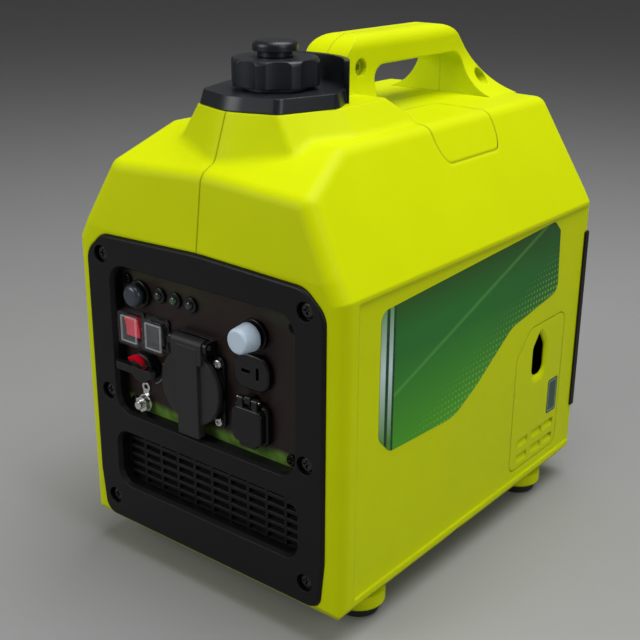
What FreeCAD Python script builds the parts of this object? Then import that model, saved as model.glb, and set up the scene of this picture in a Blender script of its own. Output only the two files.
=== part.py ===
import FreeCAD, Part
import math
import os
from FreeCAD import Vector

# Portable inverter generator: two moulded half shells around a small four-stroke
# engine, its alternator, fan, recoil starter, fuel tank and inverter.
# Millimetres.  +X is the right-hand side, -Y the control side, +Z up.
# z = 0 is the ground under the rubber feet.

# ---- overall shell --------------------------------------------------------
body_width = 224.0           # across the creases of the two side walls
shell_front = -154.0         # front face of the shells
shell_rear = 154.0           # rear face of the shells
floor_z = 14.0               # underside of the shells
chine_z = 27.0               # where the side walls turn under
chine_in = 10.0              # how far the turned-under part draws in
crease_z = 228.0             # where the side wall breaks into the slanted shoulder
roof_z = 303.0               # roof height on the centre seam
roof_edge_z = 302.0          # roof height where the shoulder starts
roof_half = 70.0             # half width of the roof
brow_z = 237.0               # foot of the leaning brow above the front panel
bonnet_front = (-148.0, 284.0)   # y, z of the bonnet's front edge on the seam
bonnet_back_y = -108.0       # where the bonnet runs into the roof
bonnet_drop = 4.0            # fall of the bonnet's front edge out to the shoulder
tail_z = 232.0               # foot of the leaning tail
tail_in = 8.0                # how far the tail leans in by roof height
wall = 3.2                   # shell wall
edge_round = 10.0            # rounding of the large outer edges
crease_round = 3.0
seam_gap = 0.5               # visible joint line between the half shells
seam_depth = 1.5
panel_step = 1.4             # side walls step in below the crease
step_front = -139.0          # the full-width corner pillar ends here
step_bottom = 31.0
cover_gap = 0.5              # joint line round lift-off covers
cover_thick = 1.7
louvre_depth = 2.6
louvre_width = 15.0
seat_gap = 0.35              # between a lift-off cover and the ledge it rests near
ledge = 4.0                  # width of the ledges behind covers
touch = 0.4                  # gap between a moving piece and its neighbours
slip = 0.05                  # radial clearance of a running fit

# ---- hump, trim and cap ---------------------------------------------------
cap_y = -80.0
hump_top = 318.0
hump_foot = 284.0
trim_height = 9.0
neck_r = 20.0
neck_bore = 16.5
neck_top = 338.0
cap_r = 28.0
cap_bottom = 329.5
cap_height = 16.5
cap_flutes = 8
flute_r = 26.0
flute_depth = 2.3
vent_r = 14.2
vent_waist = 3.6
vent_height = 9.6
vent_stem_r = 4.0
shield_r = 46.0              # outer radius of the upright guard behind the cap
shield_thick = 3.5
shield_top = 344.0

# ---- carrying handle ------------------------------------------------------
handle_front = -33.5
handle_rear = 144.0
handle_top = 354.0
handle_half = 17.5
handle_bar = 20.0            # depth of the grip bar
grip_front = 0.0             # hand opening
grip_rear = 108.0
grip_round = 11.0
slope_top_y = 96.0
handle_screw_r = 3.4
handle_screws_at = [(-15.0, 334.0), (124.0, 314.0)]   # y, z

# ---- feet -----------------------------------------------------------------
foot_x = 90.0
foot_y = 105.0
foot_r = 14.0
foot_height = 8.0
boss_r = 18.0
foot_stem_r = 5.0

# ---- front bezel and grille -----------------------------------------------
bezel_front = -156.0
bezel_seat = -150.0          # back of the bezel flange
bezel_half = 100.0
bezel_bottom = 26.0
bezel_top = 236.5
panel_face = -146.5          # front face of the control panel
panel_thick = 2.5
window = (-77.0, 77.0, 112.0, 214.0, 12.0)     # control window: x, x, z, z, radius
vent_window = (-79.0, 79.0, 56.0, 95.0, 10.0)  # cooling air window
grille_columns = 10
grille_rows = 6
bezel_screws_at = [(86.0, 220.0), (86.0, 123.0), (86.0, 42.0)]
bezel_boss_r = 5.0

# ---- control panel pieces (x, z of each axis) -------------------------------
ac_breaker_at = (-59.0, 196.5)
lamp_row = [(-41.0, 199.0), (-27.0, 199.0), (-13.0, 199.0)]
lamp_r = 3.9
engine_switch_at = (-66.2, 171.5)
eco_switch_at = (-43.4, 171.5)
switch_size = (20.4, 24.0)
switch_boot_front = -154.4
rocker_rest = 8.0            # degrees the rockers lean in their "off" place
knob_at = (-54.5, 147.5)
knob_reach = 19.0
knob_shaft_r = 4.0
ground_at = (-58.0, 119.5)
ground_r = 3.0
socket_at = (-8.5, 146.5)
socket_half = 24.2
lid_r = 25.5
socket_well_r = 20.0
hinge_y = panel_face - 7.0
hinge_z = socket_at[1] + lid_r + 5.0
hinge_pin_r = 1.5
hinge_roll_r = 4.4
roll_half = 13.0
dc_breaker_at = (40.5, 192.5)
breaker_neck_r = 6.5
ac_collar_rise = 3.0
ac_dome_r = 7.6
button_dome = 4.6            # thickness of the domed button head
button_r = 5.0
button_travel = 2.5
dc_outlet_at = (39.5, 168.5)
usb_at = (39.0, 134.5)
usb_hinge_y = panel_face - 5.6
usb_hinge_z = usb_at[1] + 16.2
usb_pin_r = 1.0
boot_tip = -164.0            # foremost point of the generator
panel_screws_at = [(-71.0, 204.0), (71.0, 204.0), (-69.0, 117.5), (69.0, 117.5)]

# ---- rear -----------------------------------------------------------------
rear_cover_front = 145.5
rear_cover_proud = 2.0
rear_cover_span = (62.0, 204.0)
tailpipe_at = (46.0, 155.0)
rear_screws_at = [(x, z) for x in (-92.0, 0.0, 92.0) for z in (70.0, 192.0)]
rear_screw_r = 2.2

# The finished model is moved so that its origin is midway between its foremost
# and rearmost points.
origin_shift = -(boot_tip + shell_rear + rear_cover_proud) / 2

# ---- engine and alternator --------------------------------------------------
crank_z = 105.0
shaft_r = 8.0
rotor_r = 50.0
fan_r = 56.0
bore_r = 22.0
engine_y = 25.0              # cylinder axis
plug_at = (28.0, engine_y)
mount_ys = (4.0, 53.0)
rotor_front = -52.0
rotor_back = -16.0
intake_z = crank_z + 84.0
pulley_r = 38.0
rope_r = 1.6
pull_y = -78.0
rope_length = 190.0

half_width = body_width / 2
big = 900.0
AXES = {"x": Vector(1, 0, 0), "y": Vector(0, 1, 0), "z": Vector(0, 0, 1)}
pieces = {}


# ---- helpers ----------------------------------------------------------------
def at(axis, level, u, v):
    """A point from its level along an axis and its two other coordinates."""
    if axis == "x":
        return Vector(level, u, v)
    if axis == "y":
        return Vector(u, level, v)
    return Vector(u, v, level)


def outline(corners, axis, level):
    """Closed wire through (u, v, radius) corners in the plane across an axis."""
    joints = []
    count = len(corners)
    for index, (u, v, radius) in enumerate(corners):
        here = Vector(u, v, 0)
        before = Vector(corners[index - 1][0], corners[index - 1][1], 0) - here
        after = Vector(corners[(index + 1) % count][0], corners[(index + 1) % count][1], 0) - here
        before.normalize()
        after.normalize()
        half_angle = before.getAngle(after) / 2
        reach = radius / math.tan(half_angle)
        middle = here
        if radius > 0:
            bisector = before + after
            bisector.normalize()
            middle = here + bisector * (radius / math.sin(half_angle) - radius)
        joints.append((here + before * reach, middle, here + after * reach, radius))
    edges = []
    for index, (start, middle, end, radius) in enumerate(joints):
        following = joints[(index + 1) % count][0]
        if radius > 0:
            ends = [at(axis, level, p.x, p.y) for p in (start, middle, end)]
            edges.append(Part.Arc(*ends).toShape())
        if (following - end).Length > 1e-6:
            ends = [at(axis, level, p.x, p.y) for p in (end, following)]
            edges.append(Part.LineSegment(*ends).toShape())
    return Part.Wire(edges)


def prism(corners, axis, start, stop, grow=0.0):
    wire = outline(corners, axis, start)
    if grow:
        wire = wire.makeOffset2D(grow)
    return Part.Face(wire).extrude(AXES[axis] * (stop - start))


def rectangle(u0, u1, v0, v1, radius=0.0):
    return [(u0, v0, radius), (u1, v0, radius), (u1, v1, radius), (u0, v1, radius)]


def square(centre, width, height, radius=0.0):
    u, v = centre
    return rectangle(u - width / 2, u + width / 2, v - height / 2, v + height / 2, radius)


def block(x0, x1, y0, y1, z0, z1):
    return Part.makeBox(x1 - x0, y1 - y0, z1 - z0, Vector(x0, y0, z0))


def rod(axis, centre, radius, start, stop):
    base = at(axis, start, centre[0], centre[1])
    return Part.makeCylinder(radius, stop - start, base, AXES[axis])


def ring(axis, centre, outer, inner, start, stop):
    return rod(axis, centre, outer, start, stop).cut(rod(axis, centre, inner, start, stop))


def cone(axis, centre, radius, end_radius, start, stop):
    base = at(axis, start, centre[0], centre[1])
    return Part.makeCone(radius, end_radius, stop - start, base, AXES[axis])


def hexagon(axis, centre, across, start, stop):
    radius = across / math.sqrt(3)
    corners = []
    for step in range(6):
        turn = math.radians(60 * step + 30)
        corners.append((centre[0] + radius * math.cos(turn), centre[1] + radius * math.sin(turn), 0))
    return prism(corners, axis, start, stop)


def group(shapes):
    return Part.makeCompound(shapes)


def mirrored(shape):
    return shape.mirror(Vector(0, 0, 0), Vector(1, 0, 0))


def rounded(shape, radius, chosen):
    """Round the edges for which chosen(edge) is true."""
    edges = [edge for edge in shape.Edges if chosen(edge)]
    return shape.makeFillet(radius, edges)


def in_plane(axis, level):
    """Chooses the edges that lie wholly in one plane across an axis."""
    def chosen(edge):
        box = edge.BoundBox
        spans = {"x": (box.XMin, box.XMax), "y": (box.YMin, box.YMax), "z": (box.ZMin, box.ZMax)}
        low, high = spans[axis]
        return abs(low - level) < 1e-3 and abs(high - level) < 1e-3
    return chosen


def pan_screw(axis, centre, face, outward, head_r, head_height, shank_r, length):
    """A cross-recessed screw whose head sits on a face and points along outward."""
    top = face + outward * head_height
    head = rod(axis, centre, head_r, min(face, top), max(face, top))
    head = rounded(head, head_height * 0.45, in_plane(axis, top))
    tip = face - outward * length
    shank = rod(axis, centre, shank_r, min(face, tip), max(face, tip))
    screw = head.fuse(shank)
    deep = top - outward * head_height * 0.6
    low, high = min(deep, top), max(deep, top)
    blade = head_r * 0.28
    arm = head_r * 1.15
    for width, height in ((arm, blade), (blade, arm)):
        screw = screw.cut(prism(square(centre, width, height), axis, low, high))
    return screw


def keep(name, shape):
    pieces[name] = shape


# ---- the shell's planes -------------------------------------------------------
def shell_planes():
    """Name, a point and the outward normal of every flat of the right half shell."""
    front_y, front_z = bonnet_front
    run_back = bonnet_back_y - front_y
    shoulder_x = half_width - (front_z - bonnet_drop - crease_z) * (half_width - roof_half) \
        / (roof_edge_z - crease_z)
    triples = {
        "side": [(half_width, 0, 0), (half_width, 1, 0), (half_width, 0, 1)],
        "slant": [(half_width, 0, crease_z), (half_width, 1, crease_z), (roof_half, 0, roof_edge_z)],
        "roof": [(0, 0, roof_z), (0, 1, roof_z), (roof_half, 0, roof_edge_z)],
        "bonnet": [(0, front_y, front_z), (0, front_y + run_back, roof_z - 0.2),
                   (shoulder_x, front_y, front_z - bonnet_drop)],
        "brow": [(0, shell_front, brow_z), (1, shell_front, brow_z), (0, front_y, front_z)],
        "front": [(0, shell_front, 0), (1, shell_front, 0), (0, shell_front, 1)],
        "rear": [(0, shell_rear, 0), (1, shell_rear, 0), (0, shell_rear, 1)],
        "tail": [(0, shell_rear, tail_z), (1, shell_rear, tail_z), (0, shell_rear - tail_in, roof_z)],
        "floor": [(0, 0, floor_z), (1, 0, floor_z), (0, 1, floor_z)],
        "chine": [(half_width, 0, chine_z), (half_width, 1, chine_z), (half_width - chine_in, 0, floor_z)],
        "chin": [(0, shell_front, chine_z), (1, shell_front, chine_z), (0, shell_front + 12, floor_z)],
        "heel": [(0, shell_rear, chine_z), (1, shell_rear, chine_z), (0, shell_rear - 12, floor_z)],
    }
    inside = Vector(half_width / 3, 0, crease_z * 0.6)
    planes = {}
    for name, (first, second, third) in triples.items():
        corner = Vector(*first)
        normal = (Vector(*second) - corner).cross(Vector(*third) - corner)
        normal.normalize()
        if (inside - corner).dot(normal) > 0:
            normal = normal * -1
        planes[name] = (corner, normal)
    return planes


PLANES = shell_planes()


def half_block(inset):
    """The right half of the shell's outer form, with every face moved in by inset."""
    solid = block(0, big, -big, big, -big, big)
    level = {name: (point - normal * inset, normal) for name, (point, normal) in PLANES.items()}
    for point, normal in level.values():
        sheet = Part.makePlane(4 * big, 4 * big)
        sheet.translate(Vector(-2 * big, -2 * big, 0))
        turn = FreeCAD.Rotation(Vector(0, 0, 1), normal)
        sheet.Placement = FreeCAD.Placement(point, turn).multiply(sheet.Placement)
        solid = solid.cut(sheet.extrude(normal * 4 * big))

    def shared(pairs):
        found = []
        for edge in solid.Edges:
            ends = [vertex.Point for vertex in edge.Vertexes]
            for pair in pairs:
                away = [abs((end - level[name][0]).dot(level[name][1])) for end in ends for name in pair]
                if max(away) < 1e-3:
                    found.append(edge)
        return found

    large = [("front", "side"), ("front", "slant"), ("brow", "slant"), ("slant", "roof"),
             ("slant", "bonnet"), ("bonnet", "roof"), ("brow", "bonnet"), ("rear", "side"),
             ("rear", "slant"), ("tail", "slant"), ("tail", "roof")]
    solid = solid.makeFillet(edge_round - inset, shared(large))
    return solid


def full_block(inset):
    right = half_block(inset)
    return right.fuse(mirrored(right)).removeSplitter()


# ---- hump and handle -----------------------------------------------------------
def hump_corners(drop):
    """Plan of the hump at a distance below its top."""
    out = drop * 0.82
    return [(0, -127 - drop * 0.39, 30), (33 + drop * 0.6, -116 - drop * 0.1, 6),
            (46 + out, -72, 12), (46 + out, -22 + drop * 1.2, 6),
            (-46 - out, -22 + drop * 1.2, 6), (-46 - out, -72, 12),
            (-33 - drop * 0.6, -116 - drop * 0.1, 6)]


def hump(inset):
    low = outline(hump_corners(hump_top - hump_foot), "z", hump_foot)
    high = outline(hump_corners(0), "z", hump_top - inset)
    if inset:
        low = low.makeOffset2D(-inset)
        high = high.makeOffset2D(-inset)
    return Part.makeLoft([low, high], True, True)


def flared_section(foot_half, y0, y1):
    """The handle seen from the front: a rounded bar that flares into the roof."""
    top = handle_top
    neck = roof_z + 33
    foot = roof_z - 1
    mid_x = handle_half + (foot_half - handle_half) * 0.25
    mid_z = roof_z + 13
    corner = 9.0
    lean = 0.29 * corner

    def p(x, z):
        return Vector(x, y0, z)
    right = [
        Part.LineSegment(p(foot_half, foot - 8), p(foot_half, foot)),
        Part.Arc(p(foot_half, foot), p(mid_x, mid_z), p(handle_half, neck)),
        Part.LineSegment(p(handle_half, neck), p(handle_half, top - corner)),
        Part.Arc(p(handle_half, top - corner), p(handle_half - lean, top - lean),
                 p(handle_half - corner, top)),
        Part.LineSegment(p(handle_half - corner, top), p(-handle_half + corner, top)),
        Part.Arc(p(-handle_half + corner, top), p(-handle_half + lean, top - lean),
                 p(-handle_half, top - corner)),
        Part.LineSegment(p(-handle_half, top - corner), p(-handle_half, neck)),
        Part.Arc(p(-handle_half, neck), p(-mid_x, mid_z), p(-foot_half, foot)),
        Part.LineSegment(p(-foot_half, foot), p(-foot_half, foot - 8)),
        Part.LineSegment(p(-foot_half, foot - 8), p(foot_half, foot - 8)),
    ]
    wire = Part.Wire([curve.toShape() for curve in right])
    return Part.Face(wire).extrude(Vector(0, y1 - y0, 0))


def handle():
    foot = roof_z - 9
    side = [(handle_front, foot, 0), (handle_front, handle_top, 26), (slope_top_y, handle_top, 24),
            (handle_rear, roof_z, 0), (handle_rear, foot, 0)]
    profile = prism(side, "x", -half_width, half_width)
    middle = (grip_front + grip_rear) / 2
    front = flared_section(26.0, handle_front - 1, middle)
    rear = flared_section(46.0, middle, handle_rear + 1)
    grip_top = handle_top - handle_bar
    hole = [(grip_front, foot - 5, 0), (grip_rear, foot - 5, 0), (grip_rear, grip_top, grip_round),
            (grip_front, grip_top, grip_round)]
    solid = profile.common(front.fuse(rear)).cut(prism(hole, "x", -half_width, half_width))
    return solid


# ---- where the covers and the label lie ------------------------------------------
step_x = half_width - panel_step             # face of the stepped-in side walls
panel_wall = wall - panel_step

right_cover_corners = [(53, 38, 8), (124, 38, 8), (124, 148, 8), (72, 148, 8), (53, 130, 8)]
left_cover_corners = rectangle(-30, 124, 44, 206, 10)
plug_cover_corners = rectangle(27, 83, -12, 61, 9)
finger_hole = [(80, 108, 6), (95, 108, 6), (95, 129, 6), (87.5, 141, 2.5), (80, 129, 6)]
finger_dish = [(76.5, 101, 9), (100.5, 101, 9), (100.5, 132, 8), (88.5, 145.5, 4), (76.5, 132, 8)]
finger_scoop = [(76, 118, 9), (87, 98, 5), (99, 112, 9), (104, 138, 9), (88, 146, 7), (76, 138, 9)]
recoil_at = (pull_y, crank_z + pulley_r + rope_r + touch)     # y, z of the starter rope
recoil_cup = square(recoil_at, 44.0, 80.0, 11.0)


def side_plate(corners, grow=0.0, back=0.0, thick=cover_thick):
    """A plate in the stepped-in right side wall; back is how far its face is set in."""
    return prism(corners, "x", step_x - back - thick, step_x - back, grow)


def plug_cover_shape(outer_inset, inner_inset, grow):
    """The stretch of roof and shoulder over the spark plug, between two insets."""
    column = prism(plug_cover_corners, "z", crease_z, roof_z + 10, grow)
    return half_block(outer_inset).cut(half_block(inner_inset)).common(column)


def shells():
    outer = full_block(0).fuse(hump(0)).removeSplitter()
    blend = 8.0

    def junction(edge):
        box = edge.BoundBox
        low = box.ZMin > hump_foot and box.ZMax < roof_z + 3 and box.YMax < 25 and box.YMin > -145
        across = box.XMin * box.XMax <= 0 and box.YLength < 1
        on_seam = abs(edge.CenterOfMass.x) < 0.01
        return low and abs(edge.CenterOfMass.x) < 66 and not across and not on_seam
    outer = rounded(outer, blend, junction)
    outer = outer.fuse(handle())
    for x in (-foot_x, foot_x):
        for y in (-foot_y, foot_y):
            outer = outer.fuse(rod("z", (x, y), boss_r, foot_height, floor_z + wall))
    inner = full_block(wall).fuse(hump(wall))
    body = outer.cut(inner)

    # A ring behind the front bezel carries it; the window inside the ring is open.
    bezel_ring = prism(bezel_corners(), "y", bezel_seat, bezel_seat + 4, 4.0)
    body = body.fuse(bezel_ring.common(full_block(1.0)))
    body = body.cut(prism(bezel_corners(), "y", shell_front - 20, bezel_seat, touch))
    body = body.cut(prism(bezel_corners(), "y", shell_front - 20, bezel_seat + 10, -10.0))

    # The side walls step in below the crease.
    step_top = crease_z - crease_round
    step = block(step_x, big, step_front, big, step_bottom, step_top)
    body = body.cut(step).cut(mirrored(step))

    # Ledges and openings for the three lift-off covers.
    ledge_back = cover_thick + seat_gap
    for corners, flip in ((right_cover_corners, False), (left_cover_corners, True)):
        frame = side_plate(corners, ledge, ledge_back, 2.2)
        opening = side_plate(corners, cover_gap, -9, 9 + ledge_back)
        through = side_plate(corners, -ledge, -9, 30)
        if flip:
            frame, opening, through = mirrored(frame), mirrored(opening), mirrored(through)
        body = body.fuse(frame).cut(opening).cut(through)
    frame = plug_cover_shape(ledge_back, ledge_back + 2.4, ledge)
    body = body.fuse(frame)
    body = body.cut(plug_cover_shape(-12.0, ledge_back, cover_gap))
    body = body.cut(prism(plug_cover_corners, "z", crease_z, roof_z + 10, -ledge))

    # Filler neck, rear cover, foot stems, recoil cup, handle screws, drain notch.
    body = body.cut(rod("z", (0, cap_y), neck_r + 2 + touch, hump_foot, hump_top + 5))
    low, high = rear_cover_span
    rear_pocket = block(-big, big, rear_cover_front, big, low - touch, high + touch)
    body = body.cut(rear_pocket)
    rear_zone = block(-big, big, rear_cover_front - 3, rear_cover_front, low - 8, high + 8)
    rear_ring = full_block(wall - 0.2).common(rear_zone)
    rear_ring = rear_ring.cut(block(-half_width + 16, half_width - 16, 0, big, low + 8, high - 8))
    body = body.fuse(rear_ring)
    for x, z in rear_screws_at:
        body = body.cut(rod("y", (x, z), rear_screw_r + 0.1, rear_cover_front - 10, rear_cover_front))
    for x in (-foot_x, foot_x):
        for y in (-foot_y, foot_y):
            body = body.cut(rod("z", (x, y), foot_stem_r, 0, floor_z + 30))
    body = body.cut(mirrored(prism(recoil_cup, "x", 50, big, touch)))
    for y, z in handle_screws_at:
        body = body.cut(rod("x", (y, z), handle_screw_r, -big, big))
        for side in (-1, 1):
            start = min(side * 12.0, side * big)
            stop = max(side * 12.0, side * big)
            body = body.cut(rod("x", (y, z), handle_screw_r + 2.4, start, stop))
    notch = block(half_width - 12, big, -14, -2, 0, chine_z - 3)
    body = body.cut(notch).cut(mirrored(notch))
    for x, z in bezel_screw_points():
        body = body.fuse(rod("y", (x, z), bezel_boss_r, bezel_seat, bezel_seat + 14))
        body = body.cut(rod("y", (x, z), 2.0, bezel_seat, bezel_seat + 14))

    # Split at the middle, with a fine groove along the joint.
    groove = block(-seam_gap / 2, seam_gap / 2, -big, big, 0, big)
    keel = full_block(seam_depth).fuse(hump(seam_depth)).fuse(
        handle().common(block(-big, big, -big, big, 0, handle_top - seam_depth)))
    body = body.cut(groove.cut(keel))
    right = body.common(block(0, big, -big, big, 0, big))
    left = body.common(block(-big, 0, -big, big, 0, big))
    keep("right_housing", largest(right))
    keep("left_housing", largest(left))


def largest(shape):
    return max(shape.Solids, key=lambda solid: solid.Volume)


def covers():
    plate = side_plate(right_cover_corners)
    scoop = Part.makeLoft([outline(finger_hole, "x", step_x - cover_thick - 0.1),
                           outline(finger_dish, "x", step_x + 0.1)], True, True)
    plate = plate.cut(scoop)
    pad_back = step_x - louvre_depth - 1.0
    plate = plate.fuse(block(pad_back, step_x - 1.0, 60.5, 116.5, 43.5, 65.5))
    for row_z in (58.5, 46.0):
        for y in (71.0, 92.5, 111.0):
            louvre = [(step_x + 0.1, row_z - 3.6), (step_x + 0.1, row_z + 2.8),
                      (step_x - louvre_depth, row_z + 2.8)]
            wire = outline([(u, w, 0) for u, w in louvre], "y", y - louvre_width / 2)
            plate = plate.cut(Part.Face(wire).extrude(Vector(0, louvre_width, 0)))
    keep("right_service_cover", plate)

    plate = side_plate(left_cover_corners)
    for row in range(6):
        z = 70.0 + row * 9
        plate = plate.cut(prism(rectangle(60, 110, z, z + 4, 1.9), "x", 0, big))
    keep("left_service_cover", mirrored(plate))
    keep("spark_plug_cover", largest(plug_cover_shape(0, cover_thick, 0)))


def side_label():
    corners = [(-116, 214, 7), (96, 223, 6), (105, 215, 3), (108, 168, 8), (42, 158, 25),
               (-2, 130, 25), (-30, 116, 40), (-104, 120, 8), (-116, 132, 8)]
    keep("side_label", prism(corners, "x", step_x, step_x + 0.25))


# ---- trim, cap, feet --------------------------------------------------------------
def trim():
    foot = [(u * 1.04, v - 2.5 if v < -110 else v, r) for u, v, r in trim_corners()]
    low = outline(foot, "z", hump_top + touch)
    high = outline(trim_corners(), "z", hump_top + trim_height)
    plate = Part.makeLoft([low, high], True, True)
    guard = ring("z", (0, cap_y), shield_r, shield_r - shield_thick, hump_top + touch, shield_top)
    behind = block(-big, big, cap_y + 24, big, 0, big)
    outside = behind.cut(rod("z", (0, cap_y), shield_r, 0, big))
    plate = plate.cut(outside).fuse(guard.common(behind))
    plate = plate.cut(rod("z", (0, cap_y), neck_r + touch, 0, big))
    keep("tank_trim", plate.removeSplitter())


def trim_corners():
    return [(0, -124, 30), (31, -113, 7), (44, -74, 9), (36, cap_y + 24, 0), (36, cap_y + shield_r, 0),
            (-36, cap_y + shield_r, 0), (-36, cap_y + 24, 0), (-44, -74, 9), (-31, -113, 7)]


def fuel_cap():
    top = cap_bottom + cap_height
    cap = rod("z", (0, cap_y), cap_r, cap_bottom, top)
    cap = rounded(cap, 3.0, in_plane("z", top))
    for step in range(cap_flutes):
        turn = 2 * math.pi * step / cap_flutes
        away = cap_r + flute_r - flute_depth
        centre = (away * math.cos(turn), cap_y + away * math.sin(turn))
        cap = cap.cut(rod("z", centre, flute_r, cap_bottom - 1, top + 1))
    cap = cap.cut(rod("z", (0, cap_y), neck_r + slip, cap_bottom, neck_top + 1))
    cap = cap.cut(rod("z", (0, cap_y), vent_stem_r + slip, cap_bottom, top))
    keep("fuel_cap", cap)
    base = top + touch
    knob = rod("z", (0, cap_y), vent_r, base + vent_waist, base + vent_height)
    knob = rounded(knob, 3.4, in_plane("z", base + vent_height))
    knob = knob.fuse(rod("z", (0, cap_y), vent_r - 3.0, base, base + vent_waist))
    stem = rod("z", (0, cap_y), vent_stem_r, top - 3, base)
    keep("cap_vent_knob", knob.fuse(stem))


def feet():
    parts = []
    for x in (-foot_x, foot_x):
        for y in (-foot_y, foot_y):
            pad = rounded(rod("z", (x, y), foot_r, 0, foot_height), 1.5, in_plane("z", 0))
            parts.append(pad.fuse(rod("z", (x, y), foot_stem_r, foot_height, floor_z + wall)))
    keep("rubber_feet", group(parts))


# ---- front ------------------------------------------------------------------------
def bezel_corners():
    half = bezel_half
    foot = half - 3.5
    return [(-foot, bezel_bottom, 10), (foot, bezel_bottom, 10), (half, 60, 20),
            (half, bezel_top - 16.5, 14), (half - 15, bezel_top - 3, 16), (0, bezel_top, 200),
            (-half + 15, bezel_top - 3, 16), (-half, bezel_top - 16.5, 14), (-half, 60, 20)]


def bezel_screw_points():
    return [(side * x, z) for x, z in bezel_screws_at for side in (-1, 1)]


def window_corners(window_box):
    x0, x1, z0, z1, radius = window_box
    return rectangle(x0, x1, z0, z1, radius)


def front_bezel():
    bezel = prism(bezel_corners(), "y", bezel_front, bezel_seat)
    bezel = rounded(bezel, 2.0, in_plane("y", bezel_front))
    inner = prism(bezel_corners(), "y", bezel_seat, panel_face, -10.0 - touch)
    for spot in bezel_screw_points():
        inner = inner.cut(rod("y", spot, bezel_boss_r + touch, bezel_seat, panel_face))
    bezel = bezel.fuse(inner)
    flare = 3.0
    for box in (window, vent_window):
        bezel = bezel.cut(prism(window_corners(box), "y", bezel_front - 1, panel_face))
        narrow = outline(window_corners(box), "y", bezel_front + flare)
        wide = outline(window_corners(box), "y", bezel_front).makeOffset2D(flare * 0.6)
        lip = Part.makeLoft([narrow, wide], True, True)
        bezel = bezel.cut(lip)
    for x, z in bezel_screw_points():
        bezel = bezel.cut(rod("y", (x, z), 6.0, bezel_front - 1, bezel_front + 4.4))
        bezel = bezel.cut(rod("y", (x, z), 2.7, bezel_front - 1, panel_face))
    keep("front_bezel", bezel)


def front_grille():
    x0, x1, z0, z1, radius = vent_window
    front, back = panel_face, panel_face + 6.0
    plate = prism(rectangle(x0 - 5, x1 + 5, z0 - 5, z1 + 5, radius), "y", front, back)
    row_pitch = (z1 - z0) / grille_rows
    slot = row_pitch * 0.62
    rise = 3.0
    for row in range(grille_rows):
        z = z0 + row_pitch * row + (row_pitch - slot) / 2 - rise / 2
        corners = [(front - 0.1, z, 0), (front - 0.1, z + slot, 0), (back + 0.1, z + slot + rise, 0),
                   (back + 0.1, z + rise, 0)]
        cutter = Part.Face(outline(corners, "x", x0 + 1)).extrude(Vector(x1 - x0 - 2, 0, 0))
        plate = plate.cut(cutter)
    column_pitch = (x1 - x0) / grille_columns
    rib_half = 1.1
    for column in range(1, grille_columns):
        x = x0 + column * column_pitch
        plate = plate.fuse(block(x - rib_half, x + rib_half, front, back, z0, z1))
    keep("front_grille", plate.removeSplitter())


def panel_openings():
    """Where the control panel is cut for the pieces that pass through it."""
    face, back = panel_face - 1, panel_face + panel_thick + 1
    cuts = [rod("y", ac_breaker_at, breaker_neck_r + touch, face, back),
            rod("y", dc_breaker_at, breaker_neck_r + touch, face, back),
            rod("y", knob_at, knob_shaft_r + slip, face, back),
            rod("y", ground_at, ground_r + 0.2, face, back),
            rod("y", socket_at, socket_well_r + 2.4, face, back),
            prism(square(dc_outlet_at, 24.4, 19.4, 7.2), "y", face, back),
            prism(square(usb_at, 22.4, 22.4, 2.2), "y", face, back)]
    cuts += [rod("y", lamp, lamp_r + 0.2, face, back) for lamp in lamp_row]
    for spot in (engine_switch_at, eco_switch_at):
        cuts.append(prism(square(spot, switch_size[0] - 3.6, switch_size[1] - 3.6, 1.0), "y", face, back))
    cuts += [rod("y", spot, 1.9, face, back) for spot in panel_screws_at]
    cuts += [rod("y", spot, 1.7, face, back) for spot in socket_screw_points()]
    return cuts


def socket_screw_points():
    x, z = socket_at
    reach = socket_half - 4.4
    return [(x + a * reach, z + b * reach) for a in (-1, 1) for b in (-1, 1)]


def control_panel():
    panel = prism(rectangle(-83, 83, 106, 219, 4), "y", panel_face, panel_face + panel_thick)
    for cutter in panel_openings():
        panel = panel.cut(cutter)
    for spot in bezel_screw_points():
        panel = panel.cut(rod("y", spot, bezel_boss_r + touch, panel_face - 1, panel_face + panel_thick + 1))
    keep("control_panel", panel)
    screws = [pan_screw("y", spot, panel_face, -1, 3.8, 1.8, 1.85, 6.0) for spot in panel_screws_at]
    for spot in socket_screw_points():
        screws.append(pan_screw("y", spot, panel_face - 2.5, -1, 3.1, 2.2, 1.65, 8.0))
    keep("panel_screws", group(screws))


def breakers():
    face = panel_face
    bodies = []
    for spot, collar_r, rise in ((ac_breaker_at, 9.3, ac_collar_rise), (dc_breaker_at, 10.3, 3.0)):
        collar = rounded(rod("y", spot, collar_r, face - rise, face), 0.8, in_plane("y", face - rise))
        body = collar.fuse(rod("y", spot, breaker_neck_r, face, face + 12))
        body = body.fuse(prism(square(spot, 15, 12, 1.5), "y", face + 12, face + 26))
        bodies.append(body.cut(rod("y", spot, button_r + touch, face - rise - 1, face + 11)))
    keep("breaker_bodies", group(bodies))
    dome_back = face - ac_collar_rise - touch - button_travel
    dome_front = dome_back - button_dome
    button = rod("y", ac_breaker_at, ac_dome_r, dome_front, dome_back)
    button = rounded(button, button_dome - 1.2, in_plane("y", dome_front))
    button = button.fuse(rod("y", ac_breaker_at, button_r, dome_back, face + 8))
    keep("ac_breaker_button", button)
    button = rod("y", dc_breaker_at, button_r, face - 10, face + 8)
    keep("dc_breaker_button", button)
    boot = cone("y", dc_breaker_at, 7.9, 9.2, boot_tip, face - 3.0 - touch - button_travel)
    boot = rounded(boot, 2.2, in_plane("y", boot_tip))
    boot = boot.cut(rod("y", dc_breaker_at, button_r + 0.01, boot_tip + 2.0, face))
    keep("dc_breaker_boot", boot)


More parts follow.
